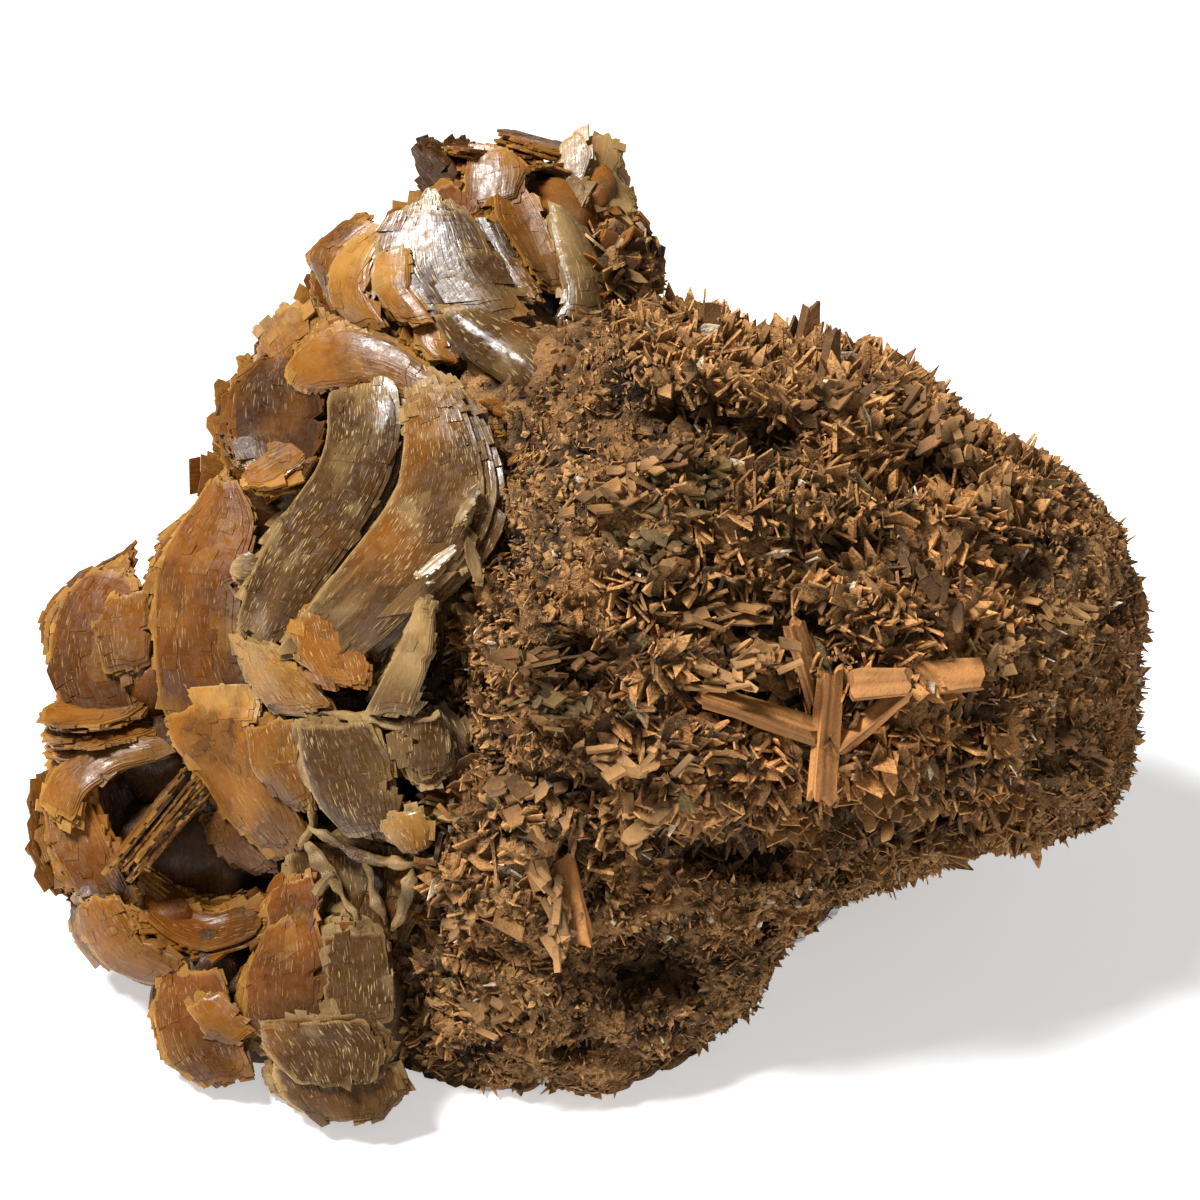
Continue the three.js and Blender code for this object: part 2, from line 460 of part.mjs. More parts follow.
function rosetteSolid({ cores, leaves }, fat = 0) {
  const roots = cores.map((one) => lump(one, CORE_FACETS, fat));
  const crystals = leaves.flatMap((one) => sheaf(one, fat));
  return joined([...roots, ...crystals]);
}

function matrixMass(fat = 0) {
  return joined([matrixBall(fat), ...MATRIX_LUMPS.map((one) => lump(one, LUMP_FACETS, fat))]);
}

function matrixBladeSolids() {
  const placed = Object.values(MATRIX_BLADES).map(onFront);
  const scattered = Array.from({ length: SCATTER.count }, (_, i) => scatteredBlade(i));
  return joined([...placed, ...scattered].flatMap((one) => sheaf({ ...one, square: true })));
}

const specimen = new THREE.Group();

function addPiece(name, solid, look) {
  const mesh = new THREE.Mesh(geometryOf(largestBody(solid)), new THREE.MeshStandardMaterial(look));
  mesh.name = name;
  specimen.add(mesh);
}

const CRYSTAL_LOOK = { color: 0xb98546, roughness: 0.35, metalness: 0 };
const MATRIX_LOOK = { color: 0x7a5a38, roughness: 0.9, metalness: 0 };

const ground = groundBlock();
const crust = joined(ROSETTES.map((rosette) => rosetteSolid(rosette)));
addPiece("crystal_crust", crust.subtract(matrixMass(JOIN_GAP)).subtract(ground), CRYSTAL_LOOK);

const hollows = joined(MATRIX_HOLLOWS.map((one) => lump(onFront(one), CORE_FACETS)));
const room = joined(ROSETTES.map((rosette) => rosetteSolid(rosette, JOIN_GAP)));
const matrix = matrixMass().subtract(hollows).add(matrixBladeSolids().subtract(room));
addPiece("matrix", matrix.subtract(ground), MATRIX_LOOK);

export default specimen;
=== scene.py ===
"""A hand specimen of barite, dressed around its solids.

A brown, spongy mass of small blades carries a crust of large honey-coloured tabular crystals on its
left side. Places are given in millimetres across, up and toward the viewer, from the middle of the
drawing, and become metres in the part's frame when a mesh is made.
"""
import math

import bmesh
import bpy
import numpy as np
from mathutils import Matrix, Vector
from mathutils.kdtree import KDTree


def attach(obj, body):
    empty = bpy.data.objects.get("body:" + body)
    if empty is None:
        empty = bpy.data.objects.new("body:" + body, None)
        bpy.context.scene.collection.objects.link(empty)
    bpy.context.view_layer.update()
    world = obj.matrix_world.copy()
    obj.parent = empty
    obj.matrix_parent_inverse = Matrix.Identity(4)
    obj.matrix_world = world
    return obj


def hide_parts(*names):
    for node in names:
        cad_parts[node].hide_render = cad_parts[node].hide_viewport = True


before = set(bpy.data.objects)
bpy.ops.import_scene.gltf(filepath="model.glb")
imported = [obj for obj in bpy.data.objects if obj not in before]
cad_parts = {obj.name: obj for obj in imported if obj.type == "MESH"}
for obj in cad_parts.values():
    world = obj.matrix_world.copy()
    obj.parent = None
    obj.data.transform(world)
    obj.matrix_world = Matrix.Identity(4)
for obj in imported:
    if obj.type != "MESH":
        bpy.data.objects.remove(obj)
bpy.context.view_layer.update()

MM = 0.001
VIEW_TILT = math.radians(30)  # the specimen is seen from this far above level
VIEW_DISTANCE = 340  # from the eye to the middle of the drawing
VIEW_WIDTH = 180  # that the picture takes in at that distance
MIDDLE_HEIGHT = 56  # of the drawing's middle above the floor
BOX_CENTRE = (-2.22, -2.07)  # of the whole specimen, measured from the drawing's middle
FLOOR_CLEARANCE = 0.05  # that loose blades keep above the floor

rng = np.random.default_rng(27)


# Places and directions


def turned(ways):
    """Directions across, up and toward the viewer, as directions in the part's frame."""
    across, up, toward = np.moveaxis(np.asarray(ways, float), -1, 0)
    sin, cos = math.sin(VIEW_TILT), math.cos(VIEW_TILT)
    return np.stack([across, up * sin - toward * cos, up * cos + toward * sin], -1)


def spot(places):
    """Places in the drawing, as millimetres in the part's frame."""
    places = np.asarray(places, float)
    nearer = 1 - places[..., 2:] / VIEW_DISTANCE
    flat = np.concatenate([places[..., :2] * nearer, places[..., 2:]], -1)
    return turned(flat) + np.array([-BOX_CENTRE[0], -BOX_CENTRE[1], MIDDLE_HEIGHT])


def in_drawing(points):
    """The places in the drawing of points in the part's frame, the reverse of spot."""
    x, y, z = np.moveaxis(points - np.array([-BOX_CENTRE[0], -BOX_CENTRE[1], MIDDLE_HEIGHT]), -1, 0)
    sin, cos = math.sin(VIEW_TILT), math.cos(VIEW_TILT)
    toward = z * sin - y * cos
    nearer = 1 - toward / VIEW_DISTANCE
    return np.stack([x / nearer, (y * sin + z * cos) / nearer, toward], -1)


def unit(vectors):
    return vectors / np.maximum(np.linalg.norm(vectors, axis=-1, keepdims=True), 1e-9)


def smoothstep(values, low, high):
    share = np.clip((values - low) / (high - low), 0, 1)
    return share * share * (3 - 2 * share)


def lerp(start, end, share):
    return start + (end - start) * share


def lattice_value(x, y, z):
    wave = np.sin(x * 127.1 + y * 311.7 + z * 74.7) * 43758.5453
    return 2 * (wave - np.floor(wave)) - 1


def rough_noise(points, grain):
    """Smooth noise from -1 to 1 with lumps of the grain's size."""
    at = np.asarray(points, float) / grain
    low = np.floor(at)
    share = at - low
    total = 0
    for dx in (0, 1):
        for dy in (0, 1):
            for dz in (0, 1):
                corner = np.array([dx, dy, dz])
                weights = smoothstep(np.where(corner == 1, share, 1 - share), 0, 1).prod(-1)
                total = total + weights * lattice_value(*np.moveaxis(low + corner, -1, 0))
    return total


# Colours


def srgb(red, green, blue):
    channels = np.array([red, green, blue]) / 255
    return np.where(channels <= 0.04045, channels / 12.92, ((channels + 0.055) / 1.055) ** 2.4)


AMBER = srgb(130, 74, 20)
HONEY = srgb(148, 94, 30)
CREAM = srgb(188, 140, 68)
GREY = srgb(84, 57, 27)
MILKY = srgb(190, 160, 110)
ORANGE = srgb(158, 100, 34)
SMOKY = srgb(92, 60, 36)
DEEP = srgb(68, 38, 12)
DARK_BROWN = srgb(58, 38, 22)
BROWN = srgb(106, 72, 38)
SAND = srgb(154, 112, 66)
TAN = srgb(182, 136, 84)
ORANGE_TAN = srgb(200, 138, 78)
OLIVE = srgb(96, 78, 44)
PALE = srgb(200, 184, 156)

TONES = {"amber": AMBER, "honey": HONEY, "cream": CREAM, "grey": GREY, "milky": MILKY, "orange": ORANGE,
         "smoky": SMOKY, "deep": DEEP, "tan": TAN, "orange_tan": ORANGE_TAN, "brown": BROWN,
         "olive": OLIVE, "sand": SAND}
RIM_OF = {"amber": CREAM, "honey": CREAM, "cream": MILKY, "grey": MILKY, "milky": MILKY, "orange": CREAM,
          "smoky": GREY, "deep": HONEY, "tan": TAN, "orange_tan": TAN, "brown": SAND, "olive": SAND,
          "sand": TAN}
ROOT_OF = {"amber": DEEP, "honey": GREY, "cream": HONEY, "grey": GREY, "milky": GREY, "orange": HONEY,
           "smoky": DEEP, "deep": SMOKY}


# Finishes


class Value:
    """A number that a finish works out over the surface. Sums on it add Math nodes."""

    def __init__(self, finish, socket):
        self.finish = finish
        self.socket = socket

    def math(self, operation, *values):
        inputs = dict(enumerate(values))
        return self.finish.node("ShaderNodeMath", {"operation": operation}, inputs)

    def __add__(self, other):
        return self.math("ADD", self, other)

    def __rsub__(self, other):
        return self.math("SUBTRACT", other, self)

    def __mul__(self, other):
        return self.math("MULTIPLY", self, other)

    def between(self, low, high, start=0, end=1):
        """Rises from start to end while this number goes from low to high, and stays there."""
        settings = {"interpolation_type": "SMOOTHSTEP"}
        inputs = {"Value": self, "From Min": low, "From Max": high, "To Min": start, "To Max": end}
        return self.finish.node("ShaderNodeMapRange", settings, inputs)


class Finish:
    """A material that is built one node at a time."""

    def __init__(self, name):
        self.material = bpy.data.materials.new(name)
        self.material.use_nodes = True
        self.nodes = self.material.node_tree.nodes
        self.links = self.material.node_tree.links
        self.shader = self.nodes["Principled BSDF"]

    def feed(self, socket, value):
        if isinstance(value, Value):
            self.links.new(value.socket, socket)
        elif isinstance(value, (tuple, np.ndarray)):
            channels = (*map(float, value), 1)
            socket.default_value = channels[: len(socket.default_value)]
        elif value is not None:
            socket.default_value = value

    def node(self, kind, settings=None, inputs=None, output=0):
        made = self.nodes.new(kind)
        for name, setting in (settings or {}).items():
            setattr(made, name, setting)
        for name, value in (inputs or {}).items():
            self.feed(made.inputs[name], value)
        return Value(self, made.outputs[output])

    def place(self):
        return self.node("ShaderNodeTexCoord", output="Object")

    def attribute(self, name, output="Color"):
        return self.node("ShaderNodeAttribute", {"attribute_name": name}, output=output)

    def noise(self, size, detail=3, at=None, lumpiness=0.55):
        inputs = {"Vector": at or self.place(), "Scale": 1 / size, "Detail": detail, "Roughness": lumpiness}
        return self.node("ShaderNodeTexNoise", inputs=inputs)

    def cells(self, size, feature="DISTANCE_TO_EDGE", at=None):
        inputs = {"Vector": at or self.place(), "Scale": 1 / size}
        return self.node("ShaderNodeTexVoronoi", {"feature": feature}, inputs)

    def flat_steps(self, size, at):
        """Patches with straight edges, each level and at a height of its own."""
        inputs = {"Vector": at, "Scale": 1 / size}
        return self.node("ShaderNodeTexVoronoi", {"distance": "CHEBYCHEV"}, inputs, output="Color")

    def stretched(self, at, shares):
        return self.node("ShaderNodeVectorMath", {"operation": "MULTIPLY"}, {0: at, 1: shares})

    def mix(self, share, first, second, blend="MIX"):
        settings = {"data_type": "RGBA", "blend_type": blend}
        return self.node("ShaderNodeMix", settings, {0: share, 6: first, 7: second}, output=2)

    def bump(self, height, depth, normal=None):
        inputs = {"Height": height, "Distance": depth, "Strength": 1.0, "Normal": normal}
        return self.node("ShaderNodeBump", inputs=inputs)

    def coat(self, **inputs):
        """Feeds the shader's sockets, named with underscores for their spaces."""
        for name, value in inputs.items():
            self.feed(self.shader.inputs[name.replace("_", " ")], value)
        return self.material


def crystal_finish(name, clearness, glow, milk, dull):
    """Glassy to waxy barite: layered, stained along short cracks and streaked white."""
    finish = Finish(name)
    tint = finish.attribute("tint")
    own = finish.node("ShaderNodeUVMap", {"uv_map": "UVMap"})
    clouds = finish.noise(0.007, detail=3)
    stain = finish.noise(0.012, detail=3, lumpiness=0.65)
    flecks = finish.noise(0.0014, detail=2, lumpiness=0.7)
    steps = finish.flat_steps(1 / 2.4, own)
    small_steps = finish.flat_steps(1 / 6.5, own)
    drawn_out = finish.stretched(own, (16.0, 1.6, 1.0))
    streaks = finish.noise(1, detail=2, at=drawn_out, lumpiness=0.5)
    scratches = finish.noise(1 / 3.1, detail=1, at=drawn_out, lumpiness=0.5)
    inputs = {"Vector": finish.place(), "Scale": 300.0, "Detail": 2.0}
    wander = finish.node("ShaderNodeTexNoise", inputs=inputs, output="Color")
    bent = finish.node("ShaderNodeVectorMath", {"operation": "MULTIPLY_ADD"},
                       {0: wander, 1: (0.006, 0.006, 0.006), 2: finish.place()})
    near_crack = 1 - finish.cells(0.011, at=bent).between(0.0, 0.02)
    cracked = near_crack * stain.between(0.57, 0.64)
    colour = finish.mix(clouds.between(0.32, 0.62, 0.65, 1.0), tint, (0.56, 0.48, 0.37), "MULTIPLY")
    colour = finish.mix(steps * 0.12, colour, finish.mix(0.35, tint, CREAM))
    colour = finish.mix(stain.between(0.5, 0.66) * 0.5, colour, DEEP)
    colour = finish.mix(clouds.between(0.56, 0.7) * milk, colour, MILKY)
    scratched = scratches.between(0.6, 0.68) * clouds.between(0.42, 0.58, milk, 0.2 + 3 * milk)
    colour = finish.mix(scratched, colour, MILKY)
    colour = finish.mix(streaks.between(0.42, 0.28) * 0.22, colour, DEEP)
    colour = finish.mix(cracked * 0.75, colour, DARK_BROWN)
    colour = finish.mix(flecks.between(0.62, 0.74) * 0.4, colour, DEEP * 0.6)
    height = steps * 0.3 + small_steps * 0.12 + flecks * 0.15 + streaks * 0.3 + clouds * 0.5
    rough = flecks.between(0.3, 0.7, dull, dull + 0.3)
    return finish.coat(
        Base_Color=colour, Roughness=rough, IOR=1.64, Specular_IOR_Level=0.2, Transmission_Weight=clearness,
        Subsurface_Weight=glow, Subsurface_Radius=(0.7, 0.5, 0.25), Subsurface_Scale=0.003,
        Normal=finish.bump(height, 0.0003))


def blade_finish(name, gloss, rough_depth, grain_share=0.7):
    """Brown small blades, whose own colour comes with the mesh."""
    finish = Finish(name)
    tint = finish.attribute("tint")
    patches = finish.noise(0.009, detail=3, lumpiness=0.6)
    grains = finish.noise(0.0005, detail=2, lumpiness=0.75)
    dust = finish.noise(0.0018, detail=3, lumpiness=0.75)
    pits = finish.cells(0.0016, feature="F1")
    colour = finish.mix(grains.between(0.62, 0.36) * grain_share, tint, (0.36, 0.3, 0.24), "MULTIPLY")
    colour = finish.mix(dust.between(0.54, 0.7) * 0.35, colour, finish.mix(0.5, tint, TAN))
    colour = finish.mix(patches.between(0.52, 0.7) * 0.35, colour, finish.mix(0.6, BROWN, ORANGE_TAN))
    height = grains * 0.8 + dust * 0.9 + pits * 0.4
    return finish.coat(
        Base_Color=colour, Roughness=grains.between(0.3, 0.7, gloss, 0.9), Specular_IOR_Level=0.25,
        Normal=finish.bump(height, rough_depth))


HONEY_CRYSTAL = crystal_finish("honey_barite", clearness=0.0, glow=0.15, milk=0.04, dull=0.2)
CLEAR_CRYSTAL = crystal_finish("clear_barite", clearness=0.15, glow=0.15, milk=0.2, dull=0.15)
SMALL_BLADES = blade_finish("brown_blades", gloss=0.55, rough_depth=0.0004)
LARGE_BLADE = blade_finish("large_blades", gloss=0.5, rough_depth=0.0002, grain_share=0.25)
SPONGE = blade_finish("brown_sponge", gloss=0.8, rough_depth=0.0009)


# Meshes made of arrays of points, faces and per-point values


class Pile:
    """Gathers shapes, in millimetres, that become one joined mesh."""

    def __init__(self):
        self.points, self.faces, self.tints, self.uvs, self.looks = [], [], [], [], []
        self.total = 0

    def add(self, points, faces, tints, uvs=None, look=0):
        self.points.append(points)
        self.faces.append([tuple(i + self.total for i in face) for face in faces])
        self.tints.append(np.broadcast_to(tints, points.shape))
        self.uvs.append(uvs if uvs is not None else points[:, :2])
        self.looks.append(np.full(len(faces), look))
        self.total += len(points)

    def piece(self, name, slot, node, finishes):
        mesh = bpy.data.meshes.new(name)
        faces = [face for group in self.faces for face in group]
        points = np.concatenate(self.points)
        mesh.from_pydata((points * MM).tolist(), [], faces)
        for finish in finishes:
            mesh.materials.append(finish)
        mesh.polygons.foreach_set("material_index", np.concatenate(self.looks).astype(np.int32))
        tints = np.concatenate([np.concatenate(self.tints), np.ones((len(points), 1))], 1)
        mesh.attributes.new("tint", "FLOAT_COLOR", "POINT").data.foreach_set("color", tints.ravel())
        corners = np.empty(len(mesh.loops), np.int32)
        mesh.loops.foreach_get("vertex_index", corners)
        uvs = np.concatenate(self.uvs)[corners]
        mesh.uv_layers.new(name="UVMap").data.foreach_set("uv", uvs.ravel())
        piece = bpy.data.objects.new(name, mesh)
        bpy.context.scene.collection.objects.link(piece)
        mesh.shade_smooth()
        mesh.set_sharp_from_angle(angle=SHARP_ANGLE)
        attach(piece, "root")
        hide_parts(node)
        return piece


def shape_of(bm):
    """The points and faces of a bmesh, which is then freed."""
    bm.verts.index_update()
    points = np.array([v.co[:] for v in bm.verts])
    faces = [tuple(v.index for v in face.verts) for face in bm.faces]
    bm.free()
    return points, faces


# The mass of small blades

OUTLINE = np.array([
    (-12, 40), (-3, 42), (7, 43.5), (16, 43), (21, 39.5), (30, 38.5), (38, 37), (46, 32.5), (54, 26.5),
    (62, 22), (70, 19), (75, 13), (78.5, 6), (81, -3), (80, -15), (79, -27), (74, -34), (65, -36.5),
    (58, -36), (50, -39.5), (42, -43), (33, -46), (26, -53), (23, -61), (14, -68), (2, -74), (-14, -75),
    (-28, -75), (-40, -68), (-47, -56), (-50, -40), (-50, -22), (-47, -6), (-42, 10), (-33, 24), (-22, 35),
], float)
OUTLINE_CENTRE = np.array([8.0, -14.0])
FRONT_DEPTHS = [(-50, 2), (-36, 9), (-22, 25), (-8, 38), (10, 43), (45, 38), (82, 26)]
BACK_DEPTHS = [(-50, 26), (-22, 38), (10, 44), (45, 38), (82, 26)]
BOXINESS = 0.74
UNDERCUT = {"from": -24, "to": -44, "depth": 13, "left": -24, "right": 4}
LEDGE_STEP = 11
LEDGE_DEPTH = 2.8
LEDGE_NORMAL = np.array([0.25, 0.9, 0.35])
MASS_SUBDIVISIONS = 7


def outline_reach(angles):
    """How far the outline is from its centre, at each angle."""
    rays = np.stack([np.cos(angles), np.sin(angles)], -1)[:, None]
    starts = OUTLINE - OUTLINE_CENTRE
    edges = np.roll(OUTLINE, -1, 0) - OUTLINE
    cross = rays[..., 0] * edges[:, 1] - rays[..., 1] * edges[:, 0]
    far = (starts[:, 0] * edges[:, 1] - starts[:, 1] * edges[:, 0]) / cross
    share = (starts[:, 0] * rays[..., 1] - starts[:, 1] * rays[..., 0]) / cross
    return np.where((far > 0) & (share >= 0) & (share <= 1), far, 0).max(1)


def depth_at(stations, across):
    places, depths = zip(*stations)
    return np.interp(across, places, depths)


def mass_surface(ways):
    """The mass's surface in directions from its middle, as places in the drawing."""
    flat = np.hypot(ways[:, 0], ways[:, 1])
    angles = np.arctan2(ways[:, 1], ways[:, 0])
    reach = outline_reach(angles) * flat ** BOXINESS
    across = OUTLINE_CENTRE[0] + reach * np.cos(angles)
    up = OUTLINE_CENTRE[1] + reach * np.sin(angles)
    front = ways[:, 2] > 0
    depth = np.where(front, depth_at(FRONT_DEPTHS, across), depth_at(BACK_DEPTHS, across))
    under = smoothstep(-up, -UNDERCUT["from"], -UNDERCUT["to"])
    inward = smoothstep(across, UNDERCUT["left"], UNDERCUT["right"])
    hollow = np.where(front, UNDERCUT["depth"] * under * inward * ways[:, 2], 0)
    toward = np.sign(ways[:, 2]) * depth * np.abs(ways[:, 2]) ** BOXINESS - hollow
    out = np.stack([across, up, toward], -1)
    height = out @ LEDGE_NORMAL / LEDGE_STEP + 0.35 * rough_noise(out, 26)
    ledge = LEDGE_DEPTH * (height - np.floor(height) - 0.5)
    rough = 3.2 * rough_noise(out, 21) + 1.6 * rough_noise(out, 8) + ledge
    inside = 1 - 0.75 * flat ** 6
    return out + unit(ways) * (rough * inside)[:, None]


def front_at(across, up):
    """How near the mass's front comes to the viewer at a place in the drawing."""
    away = np.array([across, up]) - OUTLINE_CENTRE
    angle = np.arctan2(away[1], away[0])
    share = min(1, float(np.hypot(*away) / outline_reach(np.array([angle]))[0]))
    flat = share ** (1 / BOXINESS)
    way = np.array([[flat * np.cos(angle), flat * np.sin(angle), math.sqrt(max(0, 1 - flat * flat))]])
    return mass_surface(way)[0, 2]


# Hollows between the blades: where, how wide and how deep
HOLLOWS = [
    ((12, 27), (10, 4.5), 7), ((25, 23), (6, 4.5), 7), ((50, 21), (7, 4.5), 6), ((29, -3.5), (8, 3.5), 5),
    ((22, -14), (9, 4), 6), ((8, -56), (9, 5), 9), ((-2, -8), (8, 2), 3), ((36, 8), (9, 3), 4),
    ((63, 4), (6, 4), 4), ((-4, -28), (8, 3), 4), ((20, -38), (12, 4), 5), ((44, -33), (12, 4), 4),
]
LUMPS = [((2.5, 48, -8), (5.5, 9, 12)), ((16, -42, -32), (24, 22, 20))]


def dented(places):
    """The same places, pressed in where the hollows are."""
    for (across, up), (wide, tall), deep in HOLLOWS:
        away = ((places[:, 0] - across) / wide) ** 2 + ((places[:, 1] - up) / tall) ** 2
        press = 1.4 * deep * np.exp(-away) * smoothstep(places[:, 2], 0, 10)
        places = places - press[:, None] * np.array([0, 0, 1])
    return places


def painted_hollow_shade(places):
    """Painted shade: 1 on the open surface, and less in the hollows, as a factor that darkens tints there.
    """
    light = np.ones(len(places))
    for (across, up), (wide, tall), _ in HOLLOWS:
        away = ((places[:, 0] - across) / wide) ** 2 + ((places[:, 1] - up) / tall) ** 2
        light = light * (1 - 0.85 * np.exp(-away) * (places[:, 2] > 0))
    return light


def outward(points, faces):
    """The direction out of the surface at each point."""
    corners = points[np.array(faces)]
    facing = np.cross(corners[:, 1] - corners[:, 0], corners[:, 2] - corners[:, 0])
    total = np.zeros_like(points)
    for i in range(3):
        np.add.at(total, np.array(faces)[:, i], facing)
    return unit(total)


def ball(subdivisions):
    bm = bmesh.new()
    bmesh.ops.create_icosphere(bm, subdivisions=subdivisions, radius=1)
    return shape_of(bm)


def weathered(points, faces, depth):
    """Crumbly and pored along the surface's own directions, and flat where it rests."""
    out = outward(points, faces)
    under = smoothstep(-in_drawing(points)[:, 1], 28, 44)
    large_pores = np.maximum(0, rough_noise(points + 31, 2.8) - 0.1)
    small_pores = np.maximum(0, rough_noise(points + 7, 1.5) - 0.2)
    pores = large_pores + 0.8 * small_pores
    crumbs = 0.55 * rough_noise(points, 2.1) + 0.35 * rough_noise(points + 50, 1.2)
    rise = 1.1 * rough_noise(points, 5) + crumbs - pores * (1.4 + 1.2 * under)
    points = points + out * (rise * depth)[:, None]
    points[:, 2] = np.maximum(points[:, 2], 0)
    # The second value is low in the pores, and mass_tints paints shade there with it.
    return points, smoothstep(rise, -1.4, 0.9)


def mass_tints(points, share):
    """Painted shade, dark in the pores and the hollows; sandy on what stands out, and warmer in some
    patches.
    """
    warm = smoothstep(rough_noise(points, 17), -0.2, 0.5)[:, None]
    # Painted shade: low in the pores and the hollows, where the tint goes toward dark brown.
    light = share ** 1.5 * painted_hollow_shade(in_drawing(points))
    return lerp(DARK_BROWN * 0.4, lerp(SAND, TAN, warm), light[:, None])


FRONT_SHARE = 0.4  # how far the mass's points are drawn toward its front


def make_mass():
    pile = Pile()
    ways, faces = ball(MASS_SUBDIVISIONS)
    ways = unit(ways + np.array([0, 0, FRONT_SHARE]))
    points, share = weathered(spot(dented(mass_surface(ways))), faces, 1.0)
    pile.add(points, faces, mass_tints(points, share))
    for at, radii in LUMPS:
        ways, lump_faces = ball(5)
        swell = 1 + 0.12 * rough_noise(ways, 0.45)
        places = np.array(at) + ways * np.array(radii) * swell[:, None]
        lump, share = weathered(spot(places), lump_faces, 0.8)
        pile.add(lump, lump_faces, mass_tints(lump, share))
    pile.piece("sponge_mass", "barite_matrix", "matrix", [SPONGE])
    return np.concatenate(pile.points), [face for group in pile.faces for face in group]


# Where the crust meets the mass: how far up, and how far across
CRUST_EDGE = [(-75, -31), (-52, -29), (-30, -20), (-7.5, -22), (6, -14), (24, -13), (30, -7), (45, 2),
              (60, 8)]


def beside_crust(places):
    """How far places in the drawing are to the right of the crust's edge."""
    ups, edges = zip(*CRUST_EDGE)
    edge = np.interp(places[:, 1], ups, edges)
    return places[:, 0] - edge + 0.9 * np.maximum(0, -places[:, 2] - 8)


def tablet(sides, blunt):
    """A flat crystal about one unit each way and one thick, whose tip is narrower than its root."""
    bm = bmesh.new()
    bmesh.ops.create_circle(bm, cap_ends=True, segments=sides, radius=0.58)
    for v in bm.verts:
        v.co.x *= 1 - blunt * (v.co.y + 0.5)
        v.co.z = -0.5
    grown = bmesh.ops.extrude_face_region(bm, geom=bm.faces[:])
    raised = [v for v in grown["geom"] if isinstance(v, bmesh.types.BMVert)]
    bmesh.ops.translate(bm, vec=(0, 0, 1), verts=raised)
    bmesh.ops.recalc_face_normals(bm, faces=bm.faces)
    return shape_of(bm)


TABLETS = [tablet(4, 0.25), tablet(5, 0.2), tablet(6, 0.15)]


def surface_spots(points, faces, count):
    """Random places all over a surface, with the direction out of it."""
    corners = points[np.array(faces)]
    facing = np.cross(corners[:, 1] - corners[:, 0], corners[:, 2] - corners[:, 0])
    area = np.linalg.norm(facing, axis=1)
    chosen = rng.choice(len(faces), count, p=area / area.sum())
    shares = rng.dirichlet((1, 1, 1), count)
    return (corners[chosen] * shares[..., None]).sum(1), unit(facing[chosen])


def matrix_tone(places, chance):
    """Each blade's own colour, which goes with its place on the mass, darkened by painted shade in the
    hollows.
    """
    across, up = places[:, 0], places[:, 1]
    warm = np.exp(-(((across - 34) / 26) ** 2 + ((up + 18) / 11) ** 2))
    warm = np.maximum(warm, 0.85 * np.exp(-(((across - 52) / 16) ** 2 + ((up - 6) / 18) ** 2)))
    sandy = np.exp(-(((across - 2) / 20) ** 2 + ((up - 22) / 22) ** 2))
    patch = 0.5 + 0.5 * rough_noise(places, 9)
    tone = lerp(BROWN * 0.8, SAND, smoothstep(chance, 0.0, 0.5)[:, None])
    tone = lerp(tone, TAN, (smoothstep(chance, 0.45, 0.95) * (0.4 + 0.6 * patch))[:, None])
    tone = lerp(tone, ORANGE_TAN, (warm * smoothstep(chance, 0.2, 0.8) * 0.85)[:, None])
    tone = lerp(tone, TAN, (sandy * 0.5)[:, None])
    olive = (chance * 37 % 1 > 0.93) & (up < 20)
    pale = chance * 91 % 1 > 0.985
    tone = np.where(olive[:, None], OLIVE, tone)
    # Painted shade: blades in the hollows are darkened.
    return np.where(pale[:, None], PALE, tone) * (0.1 + 0.9 * painted_hollow_shade(places))[:, None]


class Clusters:
    """Neighbouring blades grow nearly parallel, so each cluster has one direction of its own."""

    def __init__(self, points, faces, count):
        places, _ = surface_spots(points, faces, count)
        self.tree = KDTree(count)
        for i, place in enumerate(places):
            self.tree.insert(Vector(place), i)
        self.tree.balance()
        self.ways = unit(rng.normal(size=(count, 3)))
        far_left = smoothstep(-in_drawing(places)[:, 0], -35, 5)
        self.lying = rng.random(count) < 0.06 + 0.3 * far_left

    def of(self, places):
        return np.array([self.tree.find(Vector(place))[1] for place in places])


# The blades are small where the mass is sandy, at its far end and underneath: where, how wide and how small
SMALL_BLADED = [((-8, 24), (16, 26), 0.4), ((-12, -10), (14, 20), 0.55), ((76, -10), (16, 34), 0.5),
                ((30, -62), (60, 24), 0.5)]


def blade_scale(places):
    scale = np.ones(len(places))
    for (across, up), (wide, tall), small in SMALL_BLADED:
        away = ((places[:, 0] - across) / wide) ** 2 + ((places[:, 1] - up) / tall) ** 2
        scale = np.minimum(scale, lerp(small, 1, smoothstep(away, 0.5, 1.6)))
    return scale


BLADE_JITTER = 0.3  # how far a blade's direction strays from its cluster's


